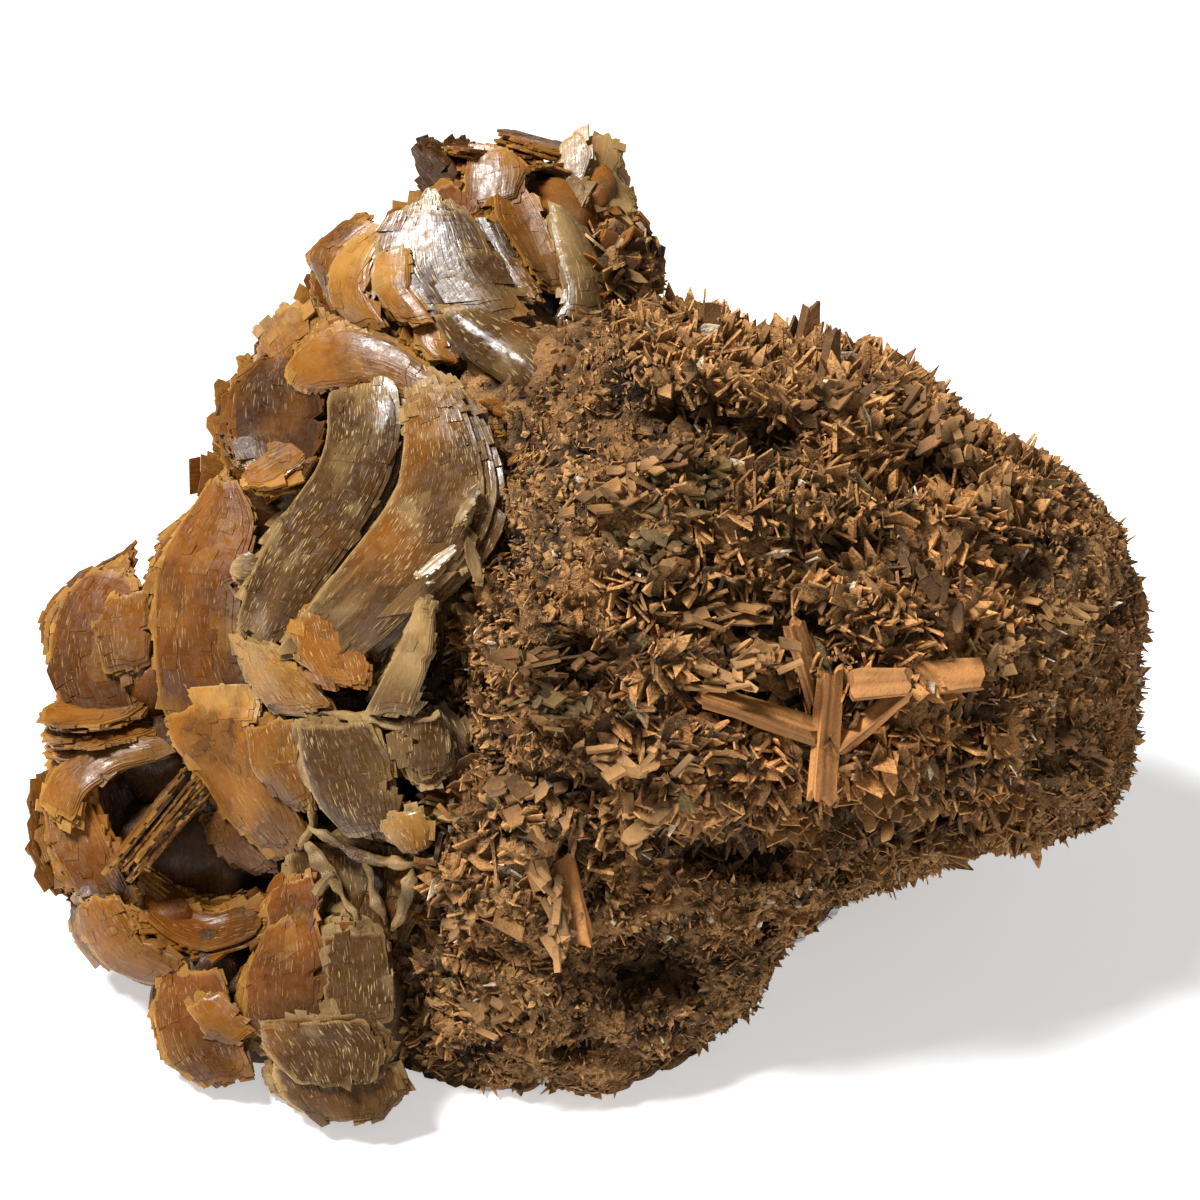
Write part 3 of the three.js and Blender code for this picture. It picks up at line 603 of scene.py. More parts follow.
def scatter(name, surface, clusters, count, width, length, thick, rise, keep, finish=SMALL_BLADES, shapes=1,
            tone_of=matrix_tone):
    """Blades all over a surface, as one joined mesh."""
    points, out = surface_spots(*surface, count)
    places = in_drawing(points)
    kept = keep(places, rng.random(count)) & (points[:, 2] > 1)
    points, out, places = points[kept], out[kept], places[kept]
    count = len(points)
    mine = clusters.of(points)
    jitter = BLADE_JITTER * rng.normal(size=(count, 3))
    along = unit(np.cross(clusters.ways[mine] + jitter, out))
    crossing = rng.random((count, 1)) < 0.4
    along = np.where(crossing, np.cross(out, along), along)
    lying = clusters.lying[mine][:, None]
    face = unit(np.where(lying, out + 0.7 * along, along + 0.25 * jitter))
    grow = out + 0.6 * np.cross(out, along) * rng.normal(size=(count, 1))
    grow = np.where(lying, np.cross(face, along) + 0.4 * out, grow)
    grow = unit(grow - face * (grow * face).sum(1, keepdims=True))
    side = np.cross(grow, face)
    scale = blade_scale(places)
    sizes = [lerp(*span, rng.random(count) ** 1.5) * scale for span in (width, length, thick)]
    tones = tone_of(places, rng.random(count))
    kinds = rng.integers(shapes, size=count)
    pile = Pile()
    for kind, (shape, faces) in enumerate(TABLETS[:shapes]):
        for i in np.nonzero(kinds == kind)[0]:
            body = (shape[:, :1] * side[i] * sizes[0][i] + shape[:, 1:2] * grow[i] * sizes[1][i]
                    + shape[:, 2:] * face[i] * sizes[2][i])
            body = body + points[i] + out[i] * rise * sizes[1][i]
            if body[:, 2].min() < FLOOR_CLEARANCE:
                continue
            tip = shape[:, 1:2] + 0.5
            # Painted shade: each blade is darkest at its root and lighter toward its tip.
            pile.add(body, faces, tones[i] * (0.08 + 1.5 * tip), shape[:, :2] * 4)
    return pile.piece(name, "barite_matrix", "matrix", [finish])


# Crystals with toothed edges and terraced rims

SHARP_ANGLE = math.radians(34)  # above which two facets meet in a hard edge
CURL = 0.08  # how far a crystal bends, for its width
TOOTH = 0.95  # how deep the steps of an edge are
PRISM_ANGLE = math.radians(78)  # between the side faces of a barite crystal
# Rings from the middle to the rim: how far out, how thick the crystal still is, and how far the ring strays
RINGS = [(0.3, 1, 0), (0.57, 1, 0.04), (0.78, 1, 0.1), (0.79, 0.8, 0.1), (0.9, 0.76, 0.06),
         (0.91, 0.5, 0.06), (1, 0.34, 0)]
COARSE, MEDIUM, FINE = 28, 40, 76  # corners round a crystal's outline


def settled(faces, number_of):
    """Faces with their points' new numbers, each from its lowest one on, in a fixed order."""
    numbered = []
    for face in faces:
        numbers = [int(number_of[i]) for i in face]
        first = numbers.index(min(numbers))
        numbered.append(tuple(numbers[first:] + numbers[:first]))
    return sorted(numbered)


def disc(sides):
    """A closed disc of flat rings: its faces, and each point's ring, angle and side."""
    bm = bmesh.new()
    bmesh.ops.create_circle(bm, cap_ends=True, cap_tris=True, segments=sides, radius=1)
    for ring in range(2, len(RINGS) + 1):
        rim = [edge for edge in bm.edges if edge.is_boundary]
        grown = bmesh.ops.extrude_edge_only(bm, edges=rim)
        outer = [v for v in grown["geom"] if isinstance(v, bmesh.types.BMVert)]
        bmesh.ops.scale(bm, vec=(ring / (ring - 1), ring / (ring - 1), 1), verts=outer)
    bmesh.ops.recalc_face_normals(bm, faces=bm.faces)
    bmesh.ops.solidify(bm, geom=bm.faces[:], thickness=1)
    bmesh.ops.recalc_face_normals(bm, faces=bm.faces)
    points, faces = shape_of(bm)
    ring = np.rint(np.hypot(points[:, 0], points[:, 1])).astype(int)
    angle = np.arctan2(points[:, 1], points[:, 0])
    side = np.sign(points[:, 2] - points[:, 2].mean())
    order = np.lexsort((angle.round(3), ring, side))
    return settled(faces, np.argsort(order)), ring[order], angle[order], side[order]


DISCS = {sides: disc(sides) for sides in (COARSE, MEDIUM, FINE)}


def plateaus(sides, shortest, longest):
    """Random heights from 0 to 1 round an outline, each kept over a few corners."""
    steps = np.zeros(sides)
    at = 0
    while at < sides:
        run = rng.integers(shortest, longest + 1)
        steps[at:at + run] = rng.random()
        at += run
    return steps


def straight_sided(sides):
    """An irregular outline with a few straight sides, as a share of the round one at each corner."""
    count = rng.integers(5, 8)
    angles = (np.arange(count) + rng.uniform(-0.3, 0.3, count)) / count * math.tau
    radii = rng.uniform(0.86, 1.12, count)
    at = np.arange(sides) / sides * math.tau
    shares = np.zeros(sides)
    for i in range(count):
        first, second = angles[i], angles[(i + 1) % count] + (math.tau if i == count - 1 else 0)
        a, b = radii[i], radii[(i + 1) % count]
        for turn in (0, math.tau):
            inside = (at + turn >= first) & (at + turn <= second)
            away = a * np.sin(at + turn - first) + b * np.sin(second - at - turn)
            shares = np.where(inside, a * b * math.sin(second - first) / np.where(inside, away, 1), shares)
    return shares


def petal_shape(width, length, thick, point, square, sides, taper):
    """A thin crystal in its own plane, and how near each of its points is to the rim."""
    faces, ring, angle, facing = DISCS[sides]
    reach, height, stray = (np.array([first] + list(rest)) for first, rest in zip((0, 1, 0), zip(*RINGS)))
    corner = np.rint(angle / math.tau * sides).astype(int) % sides
    out = reach[ring] - stray[ring] * plateaus(sides, 3, 8)[corner]
    ways = np.stack([np.cos(angle), np.sin(angle)], -1)
    boxed = ways / np.abs(ways).max(1, keepdims=True)
    outline = lerp(straight_sided(sides)[corner] * 1.04, 1, square)
    ways = lerp(ways, boxed, 0.35 + 0.65 * square) * (out * outline)[:, None]
    u, v = ways.T
    x = width / 2 * u * (1 - 0.3 * taper * v * v) * (1 - point * np.maximum(0, v))
    y = length / 2 * v * (1 - 0.22 * taper * u * u)
    stepped = 0.5 * plateaus(sides, 1, 3) + 0.9 * plateaus(sides, 3, 9)
    tooth = TOOTH * stepped[corner] * min(1, length / 12)
    bitten = 1 - tooth / (0.5 * max(width, length)) * smoothstep(out, 0.6, 1)
    z = facing * height[ring] * thick / 2
    return np.stack([x * bitten, y * bitten, z], -1), faces, out


class Sheet:
    """A curved sheet that a crystal's layers follow, some millimetres wide and long about its middle."""

    def bow(self, x, y):
        ripple = rough_noise(np.stack([x, 0.35 * y, 0 * x], -1) + self.seed, 4.5) * min(1, self.small / 10)
        return self.ripple * ripple

    def place(self, x, y, rise):
        """Points that lie x to the side, y toward the tip and rise above the sheet."""
        middle, normal = self.base(x, y)
        return middle + normal * (rise + self.bow(x, y))[:, None]

    def tint(self, tone, x, y, body, near_rim):
        """Its own colour at the tip, another at the root, and cloudy between; pale along the rim, partly the
        milky colour of the rims and partly a painted highlight on the thin edges.
        """
        main, edge, root = TONES[tone], RIM_OF[tone], ROOT_OF[tone]
        v = y / (self.length / 2)
        rooted = smoothstep(-v + 0.6 * rough_noise(body, 7), -0.5, 0.8)[:, None] * 0.8
        cloudy = smoothstep(rough_noise(body + self.seed, 4.5), 0.1, 0.7)[:, None] * 0.3
        colour = lerp(main, root, rooted)
        if root is GREY:
            honeyed = smoothstep(rough_noise(body + 2 * self.seed, 10), 0.15, 0.6)[:, None] * 0.7
            colour = lerp(colour, HONEY, honeyed)
        colour = lerp(colour, edge, cloudy)
        # Paler toward one side and the tip: the milky rim colour, with a painted edge highlight.
        thin = smoothstep(np.maximum(-x / (self.width / 2), v), 0.3, 0.95)
        pale = near_rim * (0.15 + 0.65 * thin) + 0.2 * smoothstep(thin, 0.9, 1)
        return lerp(colour, edge, pale[:, None])


class Petal(Sheet):
    """A sheet about one place in the drawing, a little bent."""

    def __init__(self, at, grow, face, size):
        self.width, self.length, self.thick = size
        self.small = min(self.width, self.length)
        self.normal = unit(turned(face))
        tip = turned(grow)
        self.tip = unit(tip - self.normal * (tip @ self.normal))
        self.side = np.cross(self.tip, self.normal)
        self.centre = spot(at)
        self.bend = rng.uniform(-0.5, 1.0, 2) * CURL * self.small
        self.seed = 40 * rng.random(3)
        self.ripple = 0.35

    def base(self, x, y):
        u, v = x / (self.width / 2), y / (self.length / 2)
        rise = self.bend[0] * (u * u - 0.3) + self.bend[1] * (v * v - 0.3)
        middle = self.centre + self.side * x[:, None] + self.tip * y[:, None] + self.normal * rise[:, None]
        return middle, self.normal


LINE_END = 0.07  # the share of a line that is straight at either end


def along_places(places, share):
    """The places at shares from 0 to 1 of a smooth line through a few given ones."""
    places = np.array(places, float)
    stations = np.linspace(0, 1, len(places))
    inner = np.clip(share, LINE_END, 1 - LINE_END)
    before, there, after = (
        np.stack([np.interp(inner + shift, stations, column) for column in places.T], -1)
        for shift in (-LINE_END, 0, LINE_END))
    slope = (after - before) / (2 * LINE_END)
    return (before + 2 * there + after) / 4 + slope * (share - inner)[:, None]


class Drape(Sheet):
    """A sheet between two edges, each a line through places in the drawing, from its tip to its root."""

    def __init__(self, left, right, thick, bulge, reach, sunk=0, slip=0):
        self.left, self.right, self.bulge, self.thick = left, right, bulge, thick
        self.reach, self.sunk, self.slip = reach, sunk, slip
        whole = np.linspace(0, 1, 12)
        edges = [spot(along_places(edge, whole)) for edge in (left, right)]
        lengths = [np.linalg.norm(np.diff(edge, axis=0), axis=1).sum() for edge in edges]
        self.width = reach * np.linalg.norm(edges[1] - edges[0], axis=1).mean()
        self.length = reach * np.mean(lengths)
        self.small = min(self.width, self.length)
        self.seed = 40 * rng.random(3)
        self.ripple = 0.5
        self.outward = turned((0, 0, 1))

    def between(self, u, v):
        left, right = spot(along_places(self.left, v)), spot(along_places(self.right, v))
        across = left * (1 - u)[:, None] + right * u[:, None]
        return across + self.outward * (self.bulge * 4 * u * (1 - u) - self.sunk)[:, None]

    def base(self, x, y):
        u = 0.5 + self.reach * (x - self.slip) / self.width
        v = 0.5 - self.reach * (y + 0.7 * self.slip) / self.length
        small = 0.02
        rightward = self.between(u + small, v) - self.between(u - small, v)
        upward = self.between(u, v - small) - self.between(u, v + small)
        return self.between(u, v), unit(np.cross(rightward, upward))


def grow_layers(pile, sheet, tone, look=0, sheets=None, sides=None, point=0, square=0.3, taper=1):
    """A crystal of several layers, of which the foremost are smaller, so that the rim is stepped."""
    width, length, thick = sheet.width, sheet.length, sheet.thick
    sheets = sheets or max(2, round(thick / 0.9))
    sides = sides or (FINE if sheet.small > 8 else MEDIUM)
    tone_shift = 1 + 0.08 * rng.normal()
    rims = []
    for i in range(sheets):
        shrink = 1 - 0.06 * abs(i - 0.6 * (sheets > 1)) - 0.05 * rng.random()
        points, faces, rim = petal_shape(
            width * shrink, length * shrink, thick / sheets * 1.02, point, square, sides, taper)
        slide = rng.normal(size=2) * 0.02 * sheet.small
        slide[1] -= 0.03 * length * max(0, i - 1)
        x, y = points[:, 0] + slide[0], points[:, 1] + slide[1]
        layer = ((i + 0.5) / sheets - 0.5) * thick
        body = sheet.place(x, y, points[:, 2] + layer)
        body[:, 2] = np.maximum(body[:, 2], FLOOR_CLEARANCE)
        shade = np.clip(tone_shift * (1 + 0.05 * rng.normal()), 0.75, 1.25)
        tints = sheet.tint(tone, x, y, body, smoothstep(rim, 0.9, 0.99)) * shade
        pile.add(body, faces, np.clip(tints, 0, 0.9), np.stack([x, y + 17 * i], -1) * 0.1, look)
        edge = rim > 0.99
        rims.append(np.stack([x, y, points[:, 2] + layer], -1)[edge])
    add_steps(pile, sheet, np.concatenate(rims), tone, look)


def straight_edged(corners):
    """A thin crystal about one unit each way, in the shape of barite, with some corners cut off."""
    bm = bmesh.new()
    bmesh.ops.create_cube(bm, size=1)
    lean = 1 / math.tan(PRISM_ANGLE)
    for v in bm.verts:
        v.co.x += v.co.y * lean
    uprights = [edge for edge in bm.edges if abs(edge.verts[0].co.z - edge.verts[1].co.z) > 0.5]
    uprights.sort(key=lambda edge: (-edge.verts[0].co.y, edge.verts[0].co.x))
    if corners:
        bmesh.ops.bevel(bm, geom=uprights[:corners], offset=0.28, affect="EDGES", segments=1, profile=0.5,
                        material=-1)
    bmesh.ops.recalc_face_normals(bm, faces=bm.faces)
    return shape_of(bm)


PLATES = [straight_edged(corners) for corners in (0, 1, 2)]
RIM_ROOM = 1.1  # mm of rim for each tooth
STEP_ROOM = (26, 60)  # mm2 of a honey or a clear crystal for each raised step


def add_steps(pile, sheet, rim, tone, look):
    """Straight-edged crystals, all turned nearly alike, that tooth a large one's rim and step its face."""
    teeth = round((sheet.width + sheet.length) * 2 / RIM_ROOM)
    steps = round(sheet.width * sheet.length / STEP_ROOM[look])
    total = teeth + steps
    chosen = rim[rng.integers(len(rim), size=teeth)]
    away = np.hypot(chosen[:, 0], chosen[:, 1])
    size = lerp(0.9, 3.8, rng.random(teeth) ** 1.6) * min(1, sheet.small / 9)
    inward = 1 - size * rng.uniform(0.12, 0.5, teeth) / np.maximum(away, 1)
    u, v = rng.uniform(-0.36, 0.36, (2, steps))
    x = np.concatenate([chosen[:, 0] * inward, u * sheet.width])
    y = np.concatenate([chosen[:, 1] * inward, v * sheet.length])
    size = np.concatenate([size, lerp(1.5, 0.3 * sheet.small, rng.random(steps) ** 1.5)])
    thick = np.concatenate([rng.uniform(0.22, 0.5, teeth), rng.uniform(0.3, 0.5, steps)])
    level = np.concatenate([chosen[:, 2] * rng.uniform(0.2, 1.1, teeth), np.full(steps, sheet.thick / 2)])
    level[teeth:] -= 0.5 * thick[teeth:] - rng.uniform(0.04, 0.13, steps)
    turn = rng.uniform(-0.35, 0.35) + 0.07 * rng.normal(size=total)
    turn += math.pi / 2 * (rng.random(total) < 0.2)
    wide = size * rng.uniform(0.5, 1.1, total)
    near_rim = np.concatenate([np.ones(teeth), np.zeros(steps)])
    # Teeth on the rim take the pale rim colour, partly milky and partly painted highlight.
    tints = sheet.tint(tone, x, y, sheet.place(x, y, level), near_rim)
    shade = 1 + (0.03 + 0.09 * near_rim) * rng.normal(size=total)
    tints = np.clip(tints * shade[:, None], 0, 0.9)
    kinds = rng.integers(len(PLATES), size=total)
    for kind, (shape, faces) in enumerate(PLATES):
        own = np.nonzero(kinds == kind)[0]
        cos, sin = np.cos(turn[own])[:, None], np.sin(turn[own])[:, None]
        across, ahead = wide[own][:, None] * shape[:, 0], size[own][:, None] * shape[:, 1]
        own_x = x[own][:, None] + across * cos - ahead * sin
        own_y = y[own][:, None] + across * sin + ahead * cos
        rise = level[own][:, None] + thick[own][:, None] * shape[:, 2]
        body = sheet.place(own_x.ravel(), own_y.ravel(), rise.ravel())
        body[:, 2] = np.maximum(body[:, 2], FLOOR_CLEARANCE)
        every = [tuple(i + plate * len(shape) for i in face) for plate in range(len(own)) for face in faces]
        uvs = np.stack([own_x.ravel(), own_y.ravel() + 23], -1) * 0.1
        pile.add(body, every, np.repeat(tints[own], len(shape), 0), uvs, look)


def add_crystal(pile, at, grow, face, size, tone, **more):
    grow_layers(pile, Petal(at, grow, face, size), tone, **more)


def drape(left, right, tone, thick=1.8, bulge=0.6, look=0):
    return {"left": left, "right": right, "tone": tone, "thick": thick, "bulge": bulge, "look": look}


DRAPE_REACH = 1.14  # how far a drape goes past its two edges, as a share of its width
DRAPE_SQUARENESS = 0.75  # of its outline, from 0 for a free one to 1 for a box
PAGES = 3  # behind each drape
PAGE_THICKNESS = 0.9
PAGE_SQUARENESS = 0.5
# The darker tone that the rearmost page takes: painted shade behind the drape.
PAINTED_SHADE_BEHIND = {"orange": "amber", "honey": "amber", "cream": "honey", "amber": "deep", "grey": "grey",
          "milky": "grey", "deep": "deep"}


def add_drape(pile, left, right, tone, thick, bulge, look):
    """A crystal between two edges, and thin ones of the same growth that slip out past them like pages, the
    rearmost darker as painted shade.
    """
    front = Drape(left, right, thick, bulge, DRAPE_REACH)
    grow_layers(pile, front, tone, look=look, square=DRAPE_SQUARENESS, taper=0)
    for i in range(1, PAGES + 1):
        reach, sunk, slip = DRAPE_REACH + 0.02 * i, 0.5 * thick + 1.1 * i, 0.75 * i
        back = Drape(left, right, PAGE_THICKNESS, bulge, reach, sunk, slip)
        # Painted shade: the rearmost page is darker.
        page_tone = PAINTED_SHADE_BEHIND[tone] if i == PAGES else tone
        grow_layers(pile, back, page_tone, look=look, square=PAGE_SQUARENESS, sheets=1, sides=MEDIUM)


def leaf(at, grow, face, size, tone, count=1, step=2.5, spread=0, **more):
    return {"at": at, "grow": grow, "face": face, "size": size, "tone": tone,
            "count": count, "step": step, "spread": spread, **more}


LEAF_SHRINK = 0.06


def turned_about(vector, axis, angle):
    return (vector * math.cos(angle) + np.cross(axis, vector) * math.sin(angle)
            + axis * (axis @ vector) * (1 - math.cos(angle)))


def leaves_of(row):
    """The rows of a sheaf, one for each of its leaves."""
    row = dict(row)
    count, step, spread = row.pop("count"), row.pop("step"), row.pop("spread")
    face, grow = unit(np.array(row["face"], float)), unit(np.array(row["grow"], float))
    hinge = unit(np.cross(face, grow))
    for i in range(count):
        turn = math.radians(spread * i)
        shrink = 1 - LEAF_SHRINK * i
        width, length, thick = row["size"]
        yield {**row, "at": np.array(row["at"], float) - face * step * i,
               "face": turned_about(face, hinge, turn), "grow": turned_about(grow, hinge, turn),
               "size": (width * shrink, length * shrink, thick)}


def own_axes(row):
    """The way a crystal faces, the way it grows and the way across, as the viewer sees them."""
    face = unit(np.array(row["face"], float))
    grow = unit(np.array(row["grow"], float) - face * (np.array(row["grow"], float) @ face))
    return face, grow, np.cross(grow, face)


def add_sisters(pile, row, count):
    """Crystals of nearly the same growth that stand behind one and fan out past its edges."""
    width, length, thick = row["size"]
    face, grow, side = own_axes(row)
    for i in range(count):
        across = rng.uniform(0.08, 0.25) * (1 if i % 2 else -1)
        behind = thick * 0.5 + rng.uniform(0.4, 1.8) + 1.2 * i
        along = rng.uniform(-0.18, 0.02)
        at = np.array(row["at"], float) + side * across * width + grow * along * length - face * behind
        shrink = rng.uniform(0.7, 0.9)
        add_crystal(
            pile, at, unit(grow + side * across * 1.6), unit(face + 0.16 * rng.normal(size=3)),
            (width * shrink, length * shrink, thick * 0.6), row["tone"], sheets=1, look=row.get("look", 0),
            sides=COARSE)


WEB_RADIUS = 0.6
WEB_DEPTH = 6  # of a web toward the crust, for its width


def round_bar(sides, rows):
    """A closed round bar along y from -1 to 1, one unit in radius and cut into rows."""
    bm = bmesh.new()
    bmesh.ops.create_cone(bm, cap_ends=True, segments=sides, radius1=1, radius2=1, depth=2)
    for row in range(1, rows):
        everything = bm.verts[:] + bm.edges[:] + bm.faces[:]
        bmesh.ops.bisect_plane(bm, geom=everything, plane_co=(0, 0, 2 * row / rows - 1), plane_no=(0, 0, 1))
    bmesh.ops.recalc_face_normals(bm, faces=bm.faces)
    points, faces = shape_of(bm)
    return points[:, (1, 2, 0)], faces


WEB_SHAPE = round_bar(8, 40)


def add_web(pile, line):
    """A thin white ridge that joins the crystals along a line of places in the drawing."""
    shape, faces = WEB_SHAPE
    middle = spot(along_places(line, shape[:, 1] * 0.5 + 0.5))
    sooner, later = (spot(along_places(line, shape[:, 1] * 0.48 + shift)) for shift in (0.48, 0.52))
    ahead = unit(later - sooner)
    out = turned((0, 0, 1))
    beside = unit(np.cross(ahead, out))
    swell = WEB_RADIUS * (1.1 + 0.8 * rough_noise(middle, 2.4)) * (1 - 0.5 * np.abs(shape[:, 1]) ** 4)
    deep = out * np.where(shape[:, 2:] > 0, 1, WEB_DEPTH) * shape[:, 2:]
    body = middle + (beside * shape[:, :1] + deep) * swell[:, None]
    body = body + 0.5 * np.stack([rough_noise(body + shift, 1.7) for shift in (0, 20, 40)], -1)
    tints = lerp(GREY, MILKY, smoothstep(rough_noise(body, 4), -0.6, 0.2)[:, None])
    pile.add(body, faces, tints, np.stack([shape[:, 0], shape[:, 1] * 10], -1), 1)


CORE_SHRINK = 0.9  # of the roots one sees, against their solids


def add_core(pile, at, radii, tone):
    """The crystals' roots, grown together in a lump that the crystals hide."""
    radii = np.array(radii) * CORE_SHRINK
    ways, faces = ball(4)
    swell = 0.96 + 0.12 * rough_noise(ways, 0.45) + 0.05 * rough_noise(ways, 0.16)
    places = np.array(at) + ways * radii * swell[:, None]
    points = spot(places)
    points[:, 2] = np.maximum(points[:, 2], FLOOR_CLEARANCE)
    pile.add(points, faces, np.clip(TONES[tone] * (0.9 + 0.2 * rough_noise(places, 5)[:, None]), 0, 1))


# The rosettes, from the top of the crust to its foot. Roots are a place and three radii. Drapes are two
# edges, from tip to root. Leaves are a place, the ways they grow and face, and their width, length and
# thickness. A look of 1 is the clearer barite.

CROWN = {
    "cores": [((-7, 54, -9), (10, 11, 11), "honey"), ((0, 60, -10), (4.5, 6.5, 7), "honey")],
    "drapes": [
        drape([(-16.5, 60.5, 2), (-16, 57, 3), (-12, 51, 4.5), (-9, 46.5, 5)],
              [(-11.5, 63, 0), (-8, 57, 2), (-6, 51, 4), (-5, 46, 4.5)], "honey", bulge=-1.2),
        drape([(-20, 67.5, -3), (-20.5, 63, -2), (-20.5, 57, -1)],
              [(-12.5, 67, -2), (-11, 64, 0), (-12, 60, 1)], "honey"),
        drape([(-20, 57.5, 1.5), (-18.5, 52, 3.5), (-13, 45, 7)],
              [(-15.5, 57, 3), (-12.5, 51.5, 5), (-8, 45, 7.5)], "grey", look=1),
        drape([(-8, 58, 1), (-6.5, 52, 3), (-5, 46, 4.5), (-6, 41, 6)],
              [(-4, 58, -1), (-1, 53, -1), (1, 48, 0), (2, 42, 1)], "milky", look=1, bulge=2),
    ],
    "leaves": [
        leaf((-24.5, 64, -5), (-0.6, 0.75, 0.1), (-0.45, -0.45, 0.75), (7, 11, 1.6),
             "smoky", count=2, spread=-5),
        leaf((-21.5, 61, -4), (-0.6, 0.75, 0), (-0.6, 0.3, 0.7), (7, 9, 1.6), "smoky"),
        leaf((0, 66, -8), (0.3, 0.95, 0), (0.35, 0.2, 0.9), (7, 10, 1.4),
             "milky", count=3, step=1.6, spread=8),
        leaf((-4, 66, -7), (-0.2, 0.95, 0.1), (-0.4, 0.3, 0.85), (6, 10, 1.4),
             "milky", count=3, step=1.5),
        leaf((2, 59.5, -6), (0.5, -0.8, 0.1), (0.4, 0.3, 0.85), (7, 9, 1.4), "milky", count=2),
        leaf((-4.5, 60, -3), (-0.1, -0.95, 0.2), (-0.2, 0.5, 0.85), (6, 9, 1.2),
             "milky", look=1, count=3, step=1.3),
        leaf((-17, 67, -8), (-0.7, 0.15, 0.7), (0.1, 0.95, 0.25), (15, 18, 1.6),
             "amber", count=3, step=2.3),
        leaf((-10, 68, -11), (-0.3, 0.2, 0.9), (0.25, 0.9, 0.3), (14, 14, 1.8), "honey"),
        leaf((-23, 58, -2), (-0.1, 1, 0), (-0.3, 0.1, 0.95), (8, 9, 2), "amber"),
        leaf((-12, 61, -19), (-0.4, 0.8, -0.4), (0.3, 0.4, -0.8), (15, 19, 2.6), "amber"),
        leaf((-1, 60, -20), (0.3, 0.8, -0.5), (-0.7, 0.2, -0.6), (12, 16, 2.6), "honey"),
        leaf((-18, 57, -14), (-0.9, 0.3, -0.3), (-0.3, -0.4, -0.85), (14, 17, 2.6), "amber"),
        leaf((-1, 47, -8), (0.2, 0.9, 0), (0.2, 0.1, 0.95), (13, 15, 3), "milky"),
        leaf((-8, 43, -1), (0.2, 0.9, 0), (0.1, 0.1, 0.98), (12, 12, 3), "grey"),
    ],
}

UPPER = {
    "cores": [((-22, 42, -6), (14, 13, 12), "deep"), ((-14, 38, 4), (9, 9, 8), "grey")],
    "drapes": [
        drape([(-29, 59.5, 3), (-33, 54, 4), (-34, 49, 5.5), (-28, 41.5, 9)],
              [(-21, 60, 4), (-16, 53, 7), (-13, 48, 8.5), (-9, 42, 10)],
              "grey", look=1, bulge=1.2, thick=3),
        drape([(-36, 54.5, 0), (-40, 50, 0), (-40, 45, 1.5), (-36, 40.5, 3)],
              [(-31, 55, 4), (-34, 50, 5), (-34.5, 45, 6), (-31, 40.5, 8)], "cream"),
        drape([(-38, 57, -7), (-43.5, 52, -7), (-40, 45, -5)],
              [(-33, 56, -3), (-38, 51, -2), (-38, 44.5, -1)], "honey"),
        drape([(-33.5, 52, 6.5), (-34, 47, 7), (-30, 41, 9.5)],
              [(-28.5, 53, 8), (-28.5, 47, 9.5), (-24.5, 41, 12)], "cream"),
        drape([(-25, 43.5, 10), (-23, 39, 13), (-19, 35.5, 15), (-14, 32.5, 17), (-9, 29, 18)],
              [(-19, 43, 11), (-14, 41, 13), (-10, 39, 14.5), (-7, 36.5, 16), (-5.5, 32, 17)],
              "grey", look=1,
              bulge=3, thick=3),
        drape([(-28, 42, 9), (-27.5, 38, 10.5), (-25, 35.5, 12)],
              [(-22.5, 41.5, 11), (-21.5, 38, 12.5), (-20.5, 35.5, 13)], "orange", bulge=-1),
    ],
    "leaves": [
        leaf((-23, 58, 0), (-0.05, 1, 0), (-0.2, 0.1, 0.95), (11, 9, 2), "amber", point=0.4),
        leaf((-12, 28.5, 20), (-0.3, -0.5, 0.8), (0.1, 0.85, 0.5), (9, 7.5, 2),
             "orange", count=3, spread=8),
        leaf((-24, 52, -8), (-0.2, 0.95, -0.1), (0.2, 0.1, 0.95), (20, 20, 2.6),
             "honey", count=2, step=9),
        leaf((-36, 44, -14), (-0.9, 0.4, -0.2), (0.35, 0.3, 0.9), (17, 18, 2.6),
             "amber", count=2, step=8),
    ],
}

